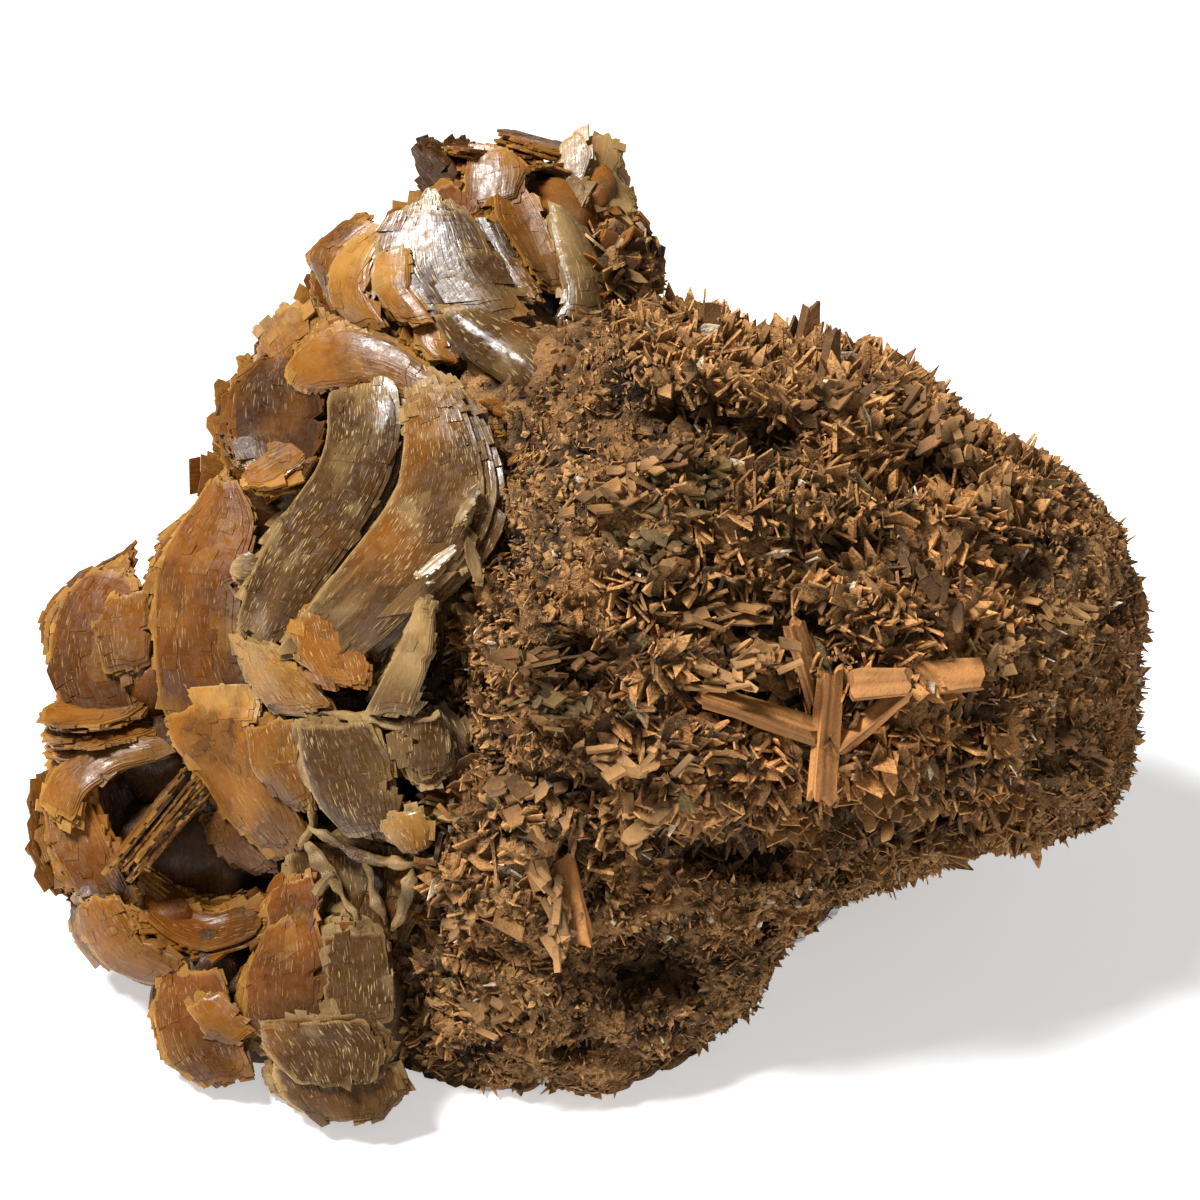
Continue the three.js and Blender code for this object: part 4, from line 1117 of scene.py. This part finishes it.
MIDDLE = {
    "cores": [((-34, 18, -5), (18, 18, 14), "deep"), ((-24, 15, 6), (11, 15, 9), "grey"),
              ((-46, 12, -22), (13, 13, 12), "deep")],
    "drapes": [
        drape([(-40.5, 32, 7), (-40, 25, 9), (-42, 19, 9), (-47, 12, 8.5), (-52, 4, 7.5),
               (-54.5, -4, 6.5)],
              [(-30, 34, 13), (-29, 26, 15.5), (-31, 18, 15.5), (-36, 9, 14), (-41, 2, 13), (-47, -7, 11.5)],
              "grey", look=1, bulge=0.8, thick=3),
        drape([(-30, 34, 14), (-28.5, 26, 17.5), (-29, 17, 19), (-34, 10, 18), (-40, 3, 16.5),
               (-48.5, -8, 13.5)],
              [(-22, 34, 17), (-18, 28, 23), (-15, 20, 28), (-15, 12, 30), (-18.5, 5, 29), (-33, -8, 21)],
              "grey", look=1, bulge=0.5, thick=3.4),
        drape([(-47, 35, 4), (-43, 39.5, 6), (-37, 40.5, 8.5), (-31, 38.5, 11), (-25.5, 34, 14.5)],
              [(-45, 31, 4), (-41, 32, 7.5), (-36, 32, 11), (-31, 31, 13.5), (-26, 29.5, 16.5)], "honey"),
        drape([(-51, 36.5, 1), (-55, 32, 0), (-55.5, 25, 0), (-53, 19.5, 1.5), (-46, 16.5, 5)],
              [(-44, 37, 4), (-42, 33, 5.5), (-41, 28, 6), (-42, 22, 7), (-44, 17.5, 8)],
              "deep", bulge=-1.5),
        drape([(-55, -5, 7.5), (-53, -11, 8.5), (-49, -17, 11)],
              [(-48, -7, 13.5), (-44, -11, 15.5), (-39, -16.5, 18)], "cream", look=1),
        drape([(-47, -3, 15.5), (-46, -8, 16), (-42, -13, 18)],
              [(-37, -2, 19.5), (-35, -8, 21), (-34, -13, 22)], "orange", look=1, thick=1.2),
        drape([(-27, 0, 26.5), (-30, -8, 25), (-35, -17, 21.5)],
              [(-24.5, 0, 28), (-25, -8, 28), (-28, -17, 25.5)], "milky", look=1),
    ],
    "leaves": [
        leaf((-47, 40, -4), (-0.6, 0.75, 0), (-0.4, 0.4, 0.8), (12, 10, 2.4), "cream"),
        leaf((-48, 20, 5), (-0.9, -0.3, 0.2), (-0.3, 0.6, 0.75), (8, 12, 2), "honey"),
        leaf((-53, 4.5, 5), (-1, 0, 0), (-0.2, 0.1, 0.95), (5, 5, 3), "milky", look=1),
        leaf((-20, 14, 31), (-0.5, -0.85, 0.1), (-0.2, 0.2, 0.95), (2, 8, 0.8), "milky", look=1),
        leaf((-24, 6, 29), (-0.8, -0.6, 0.1), (-0.2, 0.3, 0.9), (2, 9, 0.8), "milky", look=1),
        leaf((-19, 6, 31), (0.3, -0.95, 0.1), (0.3, 0.1, 0.95), (2, 7, 0.8), "milky", look=1),
        leaf((-46, 29, -15), (-0.85, 0.5, -0.1), (0.35, 0.4, 0.85), (22, 22, 2.6),
             "amber", count=2, step=9),
        leaf((-49, 11, -11), (-0.97, -0.1, 0), (0.2, -0.1, 0.97), (22, 20, 2.6),
             "amber", count=3, step=9),
    ],
}

LEFT = {
    "cores": [((-47, -16, -6), (14, 21, 13), "deep"), ((-56, -6, -22), (12, 12, 12), "deep")],
    "drapes": [
        drape([(-58, 18.5, -4), (-61.5, 13, -4.5), (-66.5, 5, -4), (-67, -6, -3), (-66, -17, -1)],
              [(-54.5, 18, -1), (-51.5, 12, 1), (-54, 4, 2), (-54.5, -6, 4), (-50.5, -16, 7)], "amber"),
        drape([(-65, -17, 0), (-64, -21, 1), (-59, -27, 4), (-55, -34, 6), (-48, -39.5, 9)],
              [(-54, -14, 5.5), (-52, -18, 8), (-49.5, -24, 10), (-47, -29, 11.5), (-43.5, -35, 13)],
              "honey"),
        drape([(-53, -19, 9.5), (-52, -26, 10.5), (-46, -31.5, 13)],
              [(-45.5, -17.5, 13.5), (-44, -24, 15), (-42.5, -31.5, 16)], "honey", look=1, thick=1.8),
        drape([(-45.5, -18, 15), (-44, -25, 16), (-41.5, -31, 17), (-37, -36, 18.5)],
              [(-34, -18, 21), (-31, -24, 23), (-30, -30, 24), (-30, -35, 23.5)], "grey", look=1),
        drape([(-47, -35, 11), (-46, -42, 11.5), (-44, -50, 13.5)],
              [(-27, -37, 21), (-27, -44, 20.5), (-29, -51, 19.5)], "grey", look=1, thick=2, bulge=-1.5),
        drape([(-33, -32.5, 23), (-32, -35.5, 23.5), (-29, -38, 24.5)],
              [(-26.5, -31, 25.5), (-25, -34, 26), (-25, -37.5, 26)], "cream", look=1, thick=1.6),
        drape([(-63, -13, 0.5), (-61.5, -16, 1.5), (-60, -19, 3)],
              [(-51, -13, 7), (-50.5, -16, 8), (-51, -19, 9)], "cream", thick=2),
    ],
    "webs": [
        [(-50, -16, 11.5), (-43, -17, 15.5), (-36, -17.5, 20), (-30, -19, 23), (-24, -17, 27)],
        [(-46, -18, 14), (-44, -26, 15), (-43, -33, 15.5), (-45, -37, 14)],
        [(-44, -34, 15.5), (-38, -37.5, 19), (-31, -39.8, 23), (-25, -39, 26)],
        [(-44, -36, 14.5), (-41, -41, 16), (-38, -45, 17.5), (-36, -49, 18.5)],
        [(-35, -39, 20.5), (-34, -44, 20), (-32, -49, 20.5)],
        [(-28, -40, 24), (-29, -45, 23), (-31, -50, 21.5)],
        [(-40, -41, 17), (-44, -45, 14.5), (-46, -48, 14)],
    ],
    "leaves": [
        leaf((-26, -22, 24), (0.1, -1, 0), (-0.1, 0.1, 0.97), (9, 12, 3), "grey", look=1),
        leaf((-57, -4, -16), (-0.9, 0.3, -0.2), (0.3, 0.2, 0.93), (22, 18, 2.6),
             "amber", count=3, step=8),
    ],
}

OUTER = {
    "cores": [((-66, -13, -13), (9, 11, 11), "amber"), ((-70, -12, -26), (9, 9, 11), "deep")],
    "drapes": [
        drape([(-75, 5.5, -11), (-80, 0.5, -11), (-82, -5, -10), (-82, -12, -9), (-80, -17, -7)],
              [(-69, 3, -8), (-69, -1, -7), (-70, -7, -6), (-71, -12, -5), (-69, -18, -4)], "amber"),
        drape([(-74, 0, -7), (-76, -5, -6), (-74, -12, -4)],
              [(-67.5, 1.5, -5.5), (-67, -4, -5), (-67.5, -11, -4)], "honey", thick=2),
    ],
    "leaves": [
        leaf((-76, -17, -4), (-0.95, 0.1, 0.1), (-0.1, 0.9, 0.4), (13, 17, 2),
             "honey", count=3, step=2.6),
        leaf((-73, -8, -20), (-0.8, 0.5, -0.3), (0.3, 0.5, 0.8), (17, 18, 2.6), "amber", count=2, step=6),
    ],
}

BOWL = {
    "cores": [((-60, -38, -8), (15, 13, 11), "deep"), ((-66, -50, -4), (10, 9, 10), "amber"),
              ((-65, -24, -7), (9, 8, 8), "deep"), ((-67, -38, -21), (12, 10, 11), "deep")],
    "drapes": [
        drape([(-84, -31, -1), (-82, -26, -1.5), (-76, -21.5, -2), (-68, -19.5, -2)],
              [(-79, -34, 2.5), (-77, -29, 2), (-72, -25.5, 1), (-63, -23.5, 0)], "honey"),
        drape([(-84.5, -29, -1), (-83, -37, 0.5), (-79, -44, 2), (-74, -47, 4)],
              [(-77, -28, 0), (-74.5, -34, 1.5), (-71.5, -40, 4), (-69, -45, 6)], "amber", bulge=-1.5),
        drape([(-76, -27, -5), (-74, -36, -4), (-68, -46, 1)],
              [(-60, -25, -4), (-58, -36, -5), (-56, -47, 0)], "deep", bulge=-4),
        drape([(-69, -41, 3), (-64, -45, 2), (-58, -47, 2.5), (-50, -44, 5)],
              [(-70, -47, 6.5), (-65, -51, 8), (-59, -53.5, 9.5), (-50, -50.5, 10.5)], "amber", bulge=-2),
        drape([(-78.5, -45, 1.5), (-78, -50, 1.5), (-74, -55, 3.5), (-66, -58, 7)],
              [(-73, -44, 5), (-70, -48, 7), (-68, -51, 8), (-62, -54, 10)], "honey"),
        drape([(-60, -32, 1), (-57, -38, 2), (-51, -41, 5)],
              [(-54, -31, 4), (-52, -35, 6), (-48, -40, 8)], "deep"),
    ],
    "leaves": [
        leaf((-68, -33, 6), (-0.65, -0.75, 0.15), (-0.75, 0.62, 0.2), (5, 19, 1.2),
             "honey", count=3, step=1.8),
        leaf((-69, -38, -15), (-0.9, -0.1, -0.3), (0.3, 0.2, 0.93), (22, 18, 2.6),
             "amber", count=3, step=6),
    ],
}

FOOT = {
    "cores": [((-47, -60, 2), (13, 13, 11), "deep"), ((-36, -60, 10), (10, 13, 8), "grey"),
              ((-59, -57, 2), (9, 9, 9), "deep"), ((-52, -60, -10), (11, 10, 10), "deep")],
    "drapes": [
        drape([(-66, -55, 8), (-66.5, -62, 9.5), (-64.5, -69, 11), (-60, -72.5, 13)],
              [(-57, -55, 11.5), (-55, -61, 13), (-53, -66, 15), (-52, -71, 16.5)], "amber"),
        drape([(-50, -50, 13), (-53, -57, 14), (-53, -63, 14.5), (-49, -66.5, 16)],
              [(-43, -46, 16), (-41, -52, 18), (-41, -58, 19), (-42, -64, 20)], "amber"),
        drape([(-49, -43, 12), (-50, -47, 12.5), (-49, -51, 13.5)],
              [(-43, -40.5, 14.5), (-41.5, -45, 16), (-42.5, -50, 17)], "amber"),
        drape([(-42, -49, 18), (-41.5, -56, 19.5), (-41, -63, 21)],
              [(-32, -49, 22), (-31, -56, 23), (-31, -63, 24)], "grey", look=1),
        drape([(-52, -63, 16.5), (-50, -67, 17.5), (-45, -73, 20.5)],
              [(-35, -61.5, 23.5), (-30.5, -66.5, 24.5), (-32, -72.5, 24.5)], "grey", look=1, thick=3),
        drape([(-49, -70, 18.5), (-47, -75, 19.5), (-42, -78.5, 21)],
              [(-31, -69, 24), (-29, -74, 24), (-32, -77.5, 23.5)], "grey"),
        drape([(-62, -61, 12.5), (-59, -65, 14), (-55, -67, 15)],
              [(-57, -58, 13.5), (-54, -62, 15), (-50.5, -65, 16)], "honey", thick=1.8),
    ],
    "leaves": [
        leaf((-53, -60, -10), (-0.8, -0.4, -0.3), (0.2, 0.3, 0.93), (18, 18, 2.6),
             "amber", count=2, step=7),
    ],
}

ROSETTES = {
    "crown_rosette": CROWN, "upper_rosette": UPPER, "middle_rosette": MIDDLE, "left_rosette": LEFT,
    "outer_rosette": OUTER, "bowl_rosette": BOWL, "foot_rosette": FOOT,
}
GROWN = 1.1  # a crystal's outline is cut back from its size by its teeth


def make_rosette(name, rosette):
    """A rosette's roots, its leaves with their sisters, its drapes and its webs, as one joined mesh."""
    pile = Pile()
    for at, radii, tone in rosette["cores"]:
        add_core(pile, at, radii, tone)
    for sheaf in rosette["leaves"]:
        for row in leaves_of(sheaf):
            width, length, thick = row["size"]
            row["size"] = (width * GROWN, length * GROWN, thick)
            add_crystal(pile, **row)
            add_sisters(pile, row, 1 if sheaf["count"] > 2 else 2)
    for row in rosette["drapes"]:
        add_drape(pile, **row)
    for line in rosette.get("webs", []):
        add_web(pile, line)
    return pile.piece(name, "barite_crystal", "crystal_crust", [HONEY_CRYSTAL, CLEAR_CRYSTAL])


# Single blades of the mass that are large enough to tell apart, with a rise above its surface


def blade(at, grow, face, size, tone, **more):
    place = (at[0], at[1], front_at(at[0], at[1]) + at[2])
    return {"at": place, "grow": grow, "face": face, "size": size, "tone": tone, **more}


LARGE_BLADES = [
    blade((24, -17, 2.5), (-0.85, 0.45, 0.2), (0.3, 0.75, 0.6), (6, 19, 2.4), "orange_tan"),
    blade((34, -20, 2.5), (0.15, 0.95, 0.1), (0.5, 0, 0.85), (5.5, 19, 2.4), "orange_tan"),
    blade((31, -9.5, 1), (-0.3, 0.9, 0.2), (0.75, 0.1, 0.65), (6, 13, 1.8), "orange_tan"),
    blade((40.5, -18, 1.5), (0.75, 0.65, 0), (-0.5, 0.6, 0.65), (5, 15, 1.8), "orange_tan"),
    blade((42, -12.5, 3), (0.95, 0.1, 0.2), (-0.1, 0.3, 0.95), (6, 9, 2.2), "orange_tan"),
    blade((52, -11.5, 3), (0.95, 0.15, 0), (0.1, 0.35, 0.9), (7, 11, 2.2), "orange_tan"),
    blade((60, -8, 2), (0.85, 0.5, 0), (0.3, 0.2, 0.9), (6, 8, 2), "tan"),
    blade((6, -22.5, 3), (0.9, -0.1, 0.35), (-0.05, 0.85, 0.5), (11, 15, 2.6), "tan"),
    blade((23, -8.5, 2), (0.9, 0.35, 0.1), (-0.2, 0.75, 0.6), (8, 17, 3), "tan"),
    blade((-6, -15, 2), (0.95, 0.1, 0.2), (0, 0.9, 0.45), (9, 13, 2.2), "olive"),
    blade((-7, -8.5, 1.5), (0.95, 0.15, 0.1), (0, 0.9, 0.4), (8, 15, 2), "brown"),
    blade((19, -1.5, 1.5), (0.95, 0.2, 0), (0, 0.85, 0.5), (7, 16, 2), "sand"),
    blade((8, 9, 1.5), (-0.8, 0.5, 0), (-0.1, 0.7, 0.7), (8, 12, 2), "olive"),
    blade((3, 18, 1), (0.9, 0.4, 0), (-0.2, 0.7, 0.7), (8, 13, 2), "sand"),
    blade((31, 38.5, 1.5), (0.15, 1, 0), (0.4, 0, 0.9), (7, 13, 3), "brown", point=0.6),
    blade((34.5, 35.5, 2), (0.3, 1, 0), (0.7, 0, 0.7), (5, 11, 2), "brown", point=0.5),
    blade((16.5, 41, 0.5), (0.05, 1, 0), (0.3, 0, 0.95), (6, 7, 2.5), "brown", point=0.4),
    blade((42, 32, 2), (0.3, 0.9, 0.2), (0.2, 0.3, 0.9), (6, 9, 1.6), "brown"),
    blade((47, 26, 2), (0, 0.9, 0.3), (-0.5, 0.3, 0.8), (7, 13, 1.8), "brown"),
    blade((54, 22, 2), (0, 0.95, 0.2), (0.1, 0.2, 0.95), (7, 12, 1.8), "tan"),
    blade((60, 16, 2.5), (0.2, 0.9, 0.2), (0.4, 0.1, 0.9), (6, 9, 1.6), "tan"),
    blade((61.5, 21.5, 1), (0.5, 0.85, 0), (0.3, -0.1, 0.95), (4, 6, 1.6), "brown", point=0.5),
    blade((33, 30, 2), (0.85, 0.4, 0), (-0.2, 0.5, 0.85), (5, 12, 1.6), "brown"),
    blade((11, 22, 2), (0.7, 0.6, 0.2), (-0.5, 0.6, 0.6), (6, 11, 1.6), "brown"),
    blade((16, 18.5, 2), (0.75, 0.4, 0.3), (0.1, 0.7, 0.7), (7, 12, 1.6), "olive"),
    blade((48, 3.5, 2.5), (0.5, -0.8, 0.2), (-0.6, -0.2, 0.8), (6, 13, 1.6), "brown"),
    blade((-9, -31, 0.5), (0.5, -0.3, 0.6), (0.1, 0.7, 0.7), (9, 13, 3), "sand"),
    blade((9, -31, 0.5), (-0.3, -0.6, 0.6), (0, 0.7, 0.7), (9, 12, 3), "tan"),
    blade((45, -29, 0.5), (0.6, -0.4, 0.6), (-0.2, 0.7, 0.6), (9, 12, 3), "tan"),
    blade((-7, -46, 2), (0.2, -0.95, 0.2), (-0.5, 0, 0.85), (5, 15, 1.6), "tan"),
    blade((-4, -45, 1), (0.2, -0.95, 0.2), (-0.5, 0, 0.85), (5, 14, 1.6), "orange_tan"),
    blade((-18, -46, 0.5), (0.9, 0.1, 0.4), (-0.1, 0.8, 0.6), (9, 13, 3), "sand"),
    blade((-14, -60, 0.5), (0.9, 0.05, 0.4), (0.1, 0.8, 0.6), (9, 14, 3), "sand"),
    blade((68, -1, 1), (0.8, 0.1, 0.5), (0.2, 0.8, 0.5), (8, 10, 2), "tan"),
    blade((70, -20, 1), (0.8, -0.2, 0.5), (0.2, 0.8, 0.5), (9, 10, 2), "brown"),
]


def rough_bar():
    """A bar about one unit each way, with facets enough to be chipped."""
    bm = bmesh.new()
    bmesh.ops.create_cube(bm, size=1)
    bmesh.ops.subdivide_edges(bm, edges=bm.edges[:], cuts=5, use_grid_fill=True)
    return shape_of(bm)


ROUGH_BAR = rough_bar()
BAR_WIDTH = 0.66  # of a bar, against its solid's
BLADE_SIZE = 0.86  # of the blades one sees, against their solids, which stand for loose grains too
FLAKES = 30  # in one ledge


def blade_axes(row):
    """The way a blade faces, the way it grows and the way across, in the part's frame."""
    normal, tip = unit(turned(row["face"])), turned(row["grow"])
    tip = unit(tip - normal * (tip @ normal))
    return normal, tip, np.cross(tip, normal)


def add_flakes(pile, row):
    """A ledge of thin angular flakes that lie nearly parallel and step back behind each other."""
    width, length, thick = row["size"]
    normal, tip, side = blade_axes(row)
    centre = spot(row["at"])
    for i in range(FLAKES):
        back = i / FLAKES
        own_face = unit(normal + 0.3 * rng.normal(size=3))
        own_tip = unit(np.cross(own_face, side) + 0.4 * rng.normal(size=3))
        own_tip = unit(own_tip - own_face * (own_tip @ own_face))
        size = 0.8 + rng.random(2) ** 1.5 * (0.24 * width, 0.3 * length)
        across, ahead = rng.normal(size=2) * (0.24 * width, 0.24 * length)
        at = centre + side * across + tip * ahead + normal * ((0.4 - back) * thick * 1.3 - 0.3)
        shape, faces = PLATES[rng.integers(len(PLATES))]
        own_side = np.cross(own_tip, own_face)
        body = (at + own_side * shape[:, :1] * size[0] + own_tip * shape[:, 1:2] * size[1]
                + own_face * shape[:, 2:] * rng.uniform(0.25, 0.55))
        tone = lerp(TONES[row["tone"]], RIM_OF[row["tone"]], 0.4 * rng.random()) * rng.uniform(0.35, 1.05)
        # Painted shade: each flake is darker at its root and lighter toward its tip.
        pile.add(body, faces, tone * (0.55 + 0.6 * (shape[:, 1:2] + 0.5)), shape[:, :2])


def add_bar(pile, row):
    """One blade, chipped all over, with a torn tip and stripes along its length."""
    shape, faces = ROUGH_BAR
    normal, tip, side = blade_axes(row)
    width, length, thick = np.array(row["size"]) * (BAR_WIDTH, BLADE_SIZE, BLADE_SIZE)
    seed = 50 * rng.random(3)
    narrow = 1 - row.get("point", 0.12) * np.maximum(0, shape[:, 1:2] + 0.5)
    uneven = 1 + 0.1 * rough_noise(shape * 3 + seed, 1)[:, None]
    torn = 1 + 0.22 * rough_noise(shape * (3.1, 0.6, 1.5) + seed, 1)[:, None]
    body = (side * shape[:, :1] * width * narrow * uneven + tip * shape[:, 1:2] * length * torn
            + normal * shape[:, 2:] * thick * 0.8)
    chips = 0.28 * rough_noise(body + seed, 1.6) + 0.12 * rough_noise(body, 0.8)
    body = body + spot(row["at"]) + normal * chips[:, None]
    striped = smoothstep(rough_noise(shape * (5.5, 0.7, 4) + seed, 1), -0.5, 0.4)[:, None]
    tints = lerp(BROWN, TONES[row["tone"]], 0.2 + 0.8 * striped) * rng.uniform(0.75, 1.05)
    pile.add(body, faces, tints, shape[:, :2])


def make_large_blades():
    """The orange and the pointed ones are single bars, and the others ledges of flakes."""
    pile = Pile()
    for row in LARGE_BLADES:
        if row["tone"] == "orange_tan" or "point" in row:
            add_bar(pile, row)
        else:
            add_flakes(pile, row)
    return pile.piece("large_blades", "barite_matrix", "matrix", [LARGE_BLADE])


def bare_of_crust(places, chance):
    """Blades thin out under the crust and in the hollows."""
    open_here = (beside_crust(places) > 0) & (painted_hollow_shade(places) > 0.75 * (chance * 7 % 1))
    return open_here | (chance < 0.1)


def along_crust(places, chance):
    """Only a ragged band where the crust ends."""
    return np.abs(beside_crust(places) + 1.5 + 3 * rough_noise(places, 9)) < 3.2


def shard_tone(places, chance):
    pale = lerp(GREY * 0.8, MILKY, smoothstep(chance, 0.3, 1.0)[:, None])
    return np.where((chance * 53 % 1 > 0.6)[:, None], HONEY, pale)


def make_crumbs(surface, count, sizes):
    """Rough grains that lie on the mass, most of them where it is sandy, with painted shade on the side
    toward the mass.
    """
    points, out = surface_spots(*surface, count)
    places = in_drawing(points)
    wanted = lerp(1.0, 0.25, smoothstep(blade_scale(places), 0.5, 1))
    kept = bare_of_crust(places, rng.random(count)) & (rng.random(count) < wanted) & (points[:, 2] > 2)
    points, out, places = points[kept], out[kept], places[kept]
    tones = matrix_tone(places, rng.random(len(points)))
    shape, faces = ball(1)
    pile = Pile()
    for i, point in enumerate(points):
        size = lerp(*sizes, rng.random() ** 2) * rng.uniform(0.5, 1.2, 3)
        body = shape * size * (1 + 0.25 * rng.normal(size=(len(shape), 1))) + point
        # Painted shade: each grain is lighter on its side away from the mass and darker on the side toward
        # it.
        light = 0.6 + 0.5 * (body - point) @ out[i] / size.max()
        pile.add(body, faces, tones[i] * np.clip(light, 0.3, 1.2)[:, None], shape[:, :2])
    return pile.piece("crumbs", "barite_matrix", "matrix", [SMALL_BLADES])


CLUSTERS = 900
CRUMBS = 24000
CRUMB_SIZES = (0.3, 0.9)


def make_specimen():
    surface = make_mass()
    clusters = Clusters(*surface, CLUSTERS)
    scatter("fine_blades", surface, clusters, count=20000, width=(0.8, 2.2), length=(1.4, 3.4),
            thick=(0.16, 0.32), rise=0.1, keep=bare_of_crust)
    scatter("small_blades", surface, clusters, count=13000, width=(1.2, 3.4), length=(2.4, 6),
            thick=(0.22, 0.45), rise=0.1, keep=bare_of_crust, shapes=2)
    scatter("medium_blades", surface, clusters, count=2200, width=(2.2, 5.5), length=(3.5, 8),
            thick=(0.3, 0.6), rise=0.04, keep=bare_of_crust, shapes=3)
    scatter("edge_shards", surface, clusters, count=16000, width=(1.2, 4), length=(2, 5.5),
            thick=(0.3, 0.8), rise=0.25, keep=along_crust, finish=HONEY_CRYSTAL, shapes=3,
            tone_of=shard_tone)
    make_crumbs(surface, CRUMBS, CRUMB_SIZES)
    make_large_blades()
    for name, rosette in ROSETTES.items():
        make_rosette(name, rosette)


make_specimen()


# Floor, light and camera


def make_floor():
    bm = bmesh.new()
    bmesh.ops.create_grid(bm, x_segments=1, y_segments=1, size=3)
    mesh = bpy.data.meshes.new("floor")
    bm.to_mesh(mesh)
    bm.free()
    finish = Finish("pale_floor")
    rough = finish.noise(0.02, detail=3).between(0.3, 0.7, 0.5, 0.65)
    mesh.materials.append(finish.coat(
        Base_Color=(0.9, 0.9, 0.9), Roughness=rough, Emission_Color=(1, 1, 1), Emission_Strength=0.47))
    floor = bpy.data.objects.new("floor", mesh)
    bpy.context.scene.collection.objects.link(floor)


def add_light(name, place, size, power):
    """A soft square light that faces the specimen."""
    light = bpy.data.lights.new(name, "AREA")
    light.size = size
    light.energy = power
    lamp = bpy.data.objects.new(name, light)
    lamp.location = place
    lamp.rotation_euler = (Vector((0, 0, 0.05)) - Vector(place)).to_track_quat("-Z", "Y").to_euler()
    bpy.context.scene.collection.objects.link(lamp)


def light_room():
    world = bpy.data.worlds.new("pale_room")
    bpy.context.scene.world = world
    world.use_nodes = True
    world.node_tree.nodes["Background"].inputs["Color"].default_value = (1, 1, 1, 1)
    world.node_tree.nodes["Background"].inputs["Strength"].default_value = 0.15
    add_light("key_light", (-0.34, -0.1, 0.7), 0.2, 11)
    add_light("front_light", (0.3, -0.6, 0.5), 0.5, 0.8)
    bpy.context.scene.view_settings.view_transform = "Standard"


def add_camera():
    camera = bpy.data.cameras.new("camera")
    camera.sensor_width = 36
    camera.lens = camera.sensor_width * VIEW_DISTANCE / VIEW_WIDTH
    eye = bpy.data.objects.new("camera", camera)
    eye.location = spot((0, 0, VIEW_DISTANCE)) * MM
    eye.rotation_euler = (math.pi / 2 - VIEW_TILT, 0, 0)
    bpy.context.scene.collection.objects.link(eye)
    bpy.context.scene.camera = eye


make_floor()
light_room()
add_camera()
